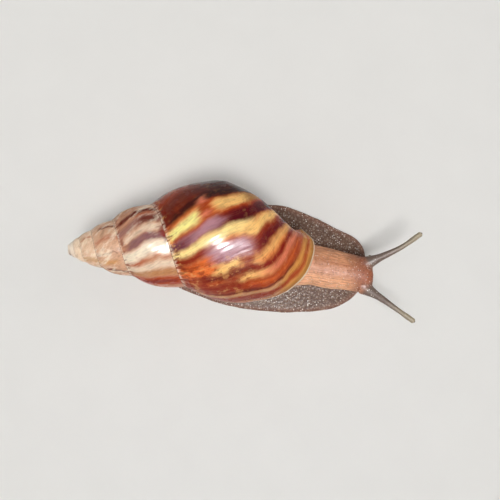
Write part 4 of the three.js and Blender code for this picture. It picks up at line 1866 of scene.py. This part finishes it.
@dataclass
class Stage:
    """The pale floor, the lights and the camera."""

    camera_height: float = 200
    lens: float = 43.2
    sensor: float = 36
    view_limits: tuple[float, float] = (0.001, 50)  # metres
    floor_size: float = 2000
    sunlight: tuple[Sunlight, ...] = (
        Sunlight("key", (20, -60, 320), 22, 2.3),
        Sunlight("fill", (-170, -120, 260), 50, 0.5),
        Sunlight("rim", (220, 60, 200), 40, 0.35),
    )
    gleam_place: Point = (-2, -68, 320)
    gleam_size: float = 76
    gleam_power: float = 7.6
    room_colour: Colour = (0.95, 0.97, 1)
    room_light: float = 0.16
    backdrop: float = 0.78

    def build(self) -> None:
        """Makes all of it."""
        self.lay_floor()
        for light in self.sunlight:
            lamp = self.hang("SUN", light.name, light.source, light.strength)
            lamp.data.angle = math.radians(light.spread)
        # A small lamp that only shows in gloss, as the bright spot on the shell.
        gleam = self.hang("AREA", "gleam", self.gleam_place, self.gleam_power)
        gleam.data.shape = "DISK"
        gleam.data.size = self.gleam_size * MM
        gleam.visible_diffuse = False
        self.set_world()
        self.set_camera()

    def lay_floor(self) -> None:
        """Lays the floor."""
        Bench.clear()
        bpy.ops.mesh.primitive_plane_add(size=self.floor_size * MM, location=(0, 0, 0))
        floor = bpy.context.object
        floor.name = "floor"
        floor.data.materials.append(FloorFinish().material())

    @staticmethod
    def hang(kind: str, name: str, place: Point, strength: float) -> Piece:
        """Hangs a lamp that shines at the origin.

        Args:
            kind: The lamp's type.
            name: Its name.
            place: Where it hangs, in millimetres.
            strength: Its power, or a sun's in watts a square metre.

        Returns:
            The lamp.
        """
        Bench.clear()
        bpy.ops.object.light_add(type=kind, location=Vector(place) * MM)
        lamp = bpy.context.object
        lamp.name = name
        lamp.data.energy = strength
        lamp.rotation_mode = "QUATERNION"
        lamp.rotation_quaternion = (-Vector(place)).to_track_quat("-Z", "Y")
        return lamp

    def set_world(self) -> None:
        """Fills the room with faint light round a pale backdrop, shown without any film curve."""
        bpy.context.scene.view_settings.view_transform = "Standard"
        world = bpy.data.worlds.new("room")
        world.use_nodes = True
        g = Graph(world.node_tree)
        background = g.tree.nodes["Background"]
        g.feed(background.inputs["Color"], self.room_colour)
        seen = g.times(g.add("LightPath").outputs["Is Camera Ray"], self.backdrop - self.room_light)
        g.feed(background.inputs["Strength"], g.plus(seen, self.room_light))
        bpy.context.scene.world = world

    def set_camera(self) -> None:
        """Hangs the camera over the animal, looking straight down."""
        place = (Vector((0, 0, self.camera_height)) - CENTRE) * MM
        Bench.clear()
        bpy.ops.object.camera_add(location=place, rotation=(0, 0, 0))
        camera = bpy.context.object
        camera.data.lens = self.lens
        camera.data.sensor_width = self.sensor
        camera.data.clip_start, camera.data.clip_end = self.view_limits
        bpy.context.scene.camera = camera


def dress(piece: Piece, materials: Sequence[Material], nodes: Sequence[str]) -> None:
    """Gives a finished piece its materials and its place in the model.

    Args:
        piece: The piece.
        materials: Its finishes, all of it getting the first.
        nodes: The solids that it stands for.
    """
    piece.data.materials.clear()
    for material in materials:
        piece.data.materials.append(material)
    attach(piece, "root")
    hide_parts(*nodes)
    LOG.info("%s: %d faces", piece.name, len(piece.data.polygons))


def main() -> None:
    """Builds the whole snail and the stage it stands on."""
    logging.basicConfig(level=logging.INFO)
    Stage().build()
    shell_maker = Shell()
    shell = shell_maker.build()
    flesh = Flesh().build(shell_maker.aperture)
    shell_finish = ShellFinish()
    dress(shell, shell_finish.materials(), ["shell"])
    shell_maker.part_ages(shell, shell_finish.ages)
    flesh_nodes = ["mantle_collar", "tail", "foot", "back", "neck", "head", "mouth"]
    flesh_nodes += [f"tentacle_{level}_{side.value}" for level in ("upper", "lower") for side in Side]
    dress(flesh, [SkinFinish().material()], flesh_nodes)
    eye_finish = [EyeFinish().material()]
    for side in Side:
        dress(Eyes().build(side), eye_finish, [f"eye_{side.value}"])


if __name__ == "__main__":
    main()
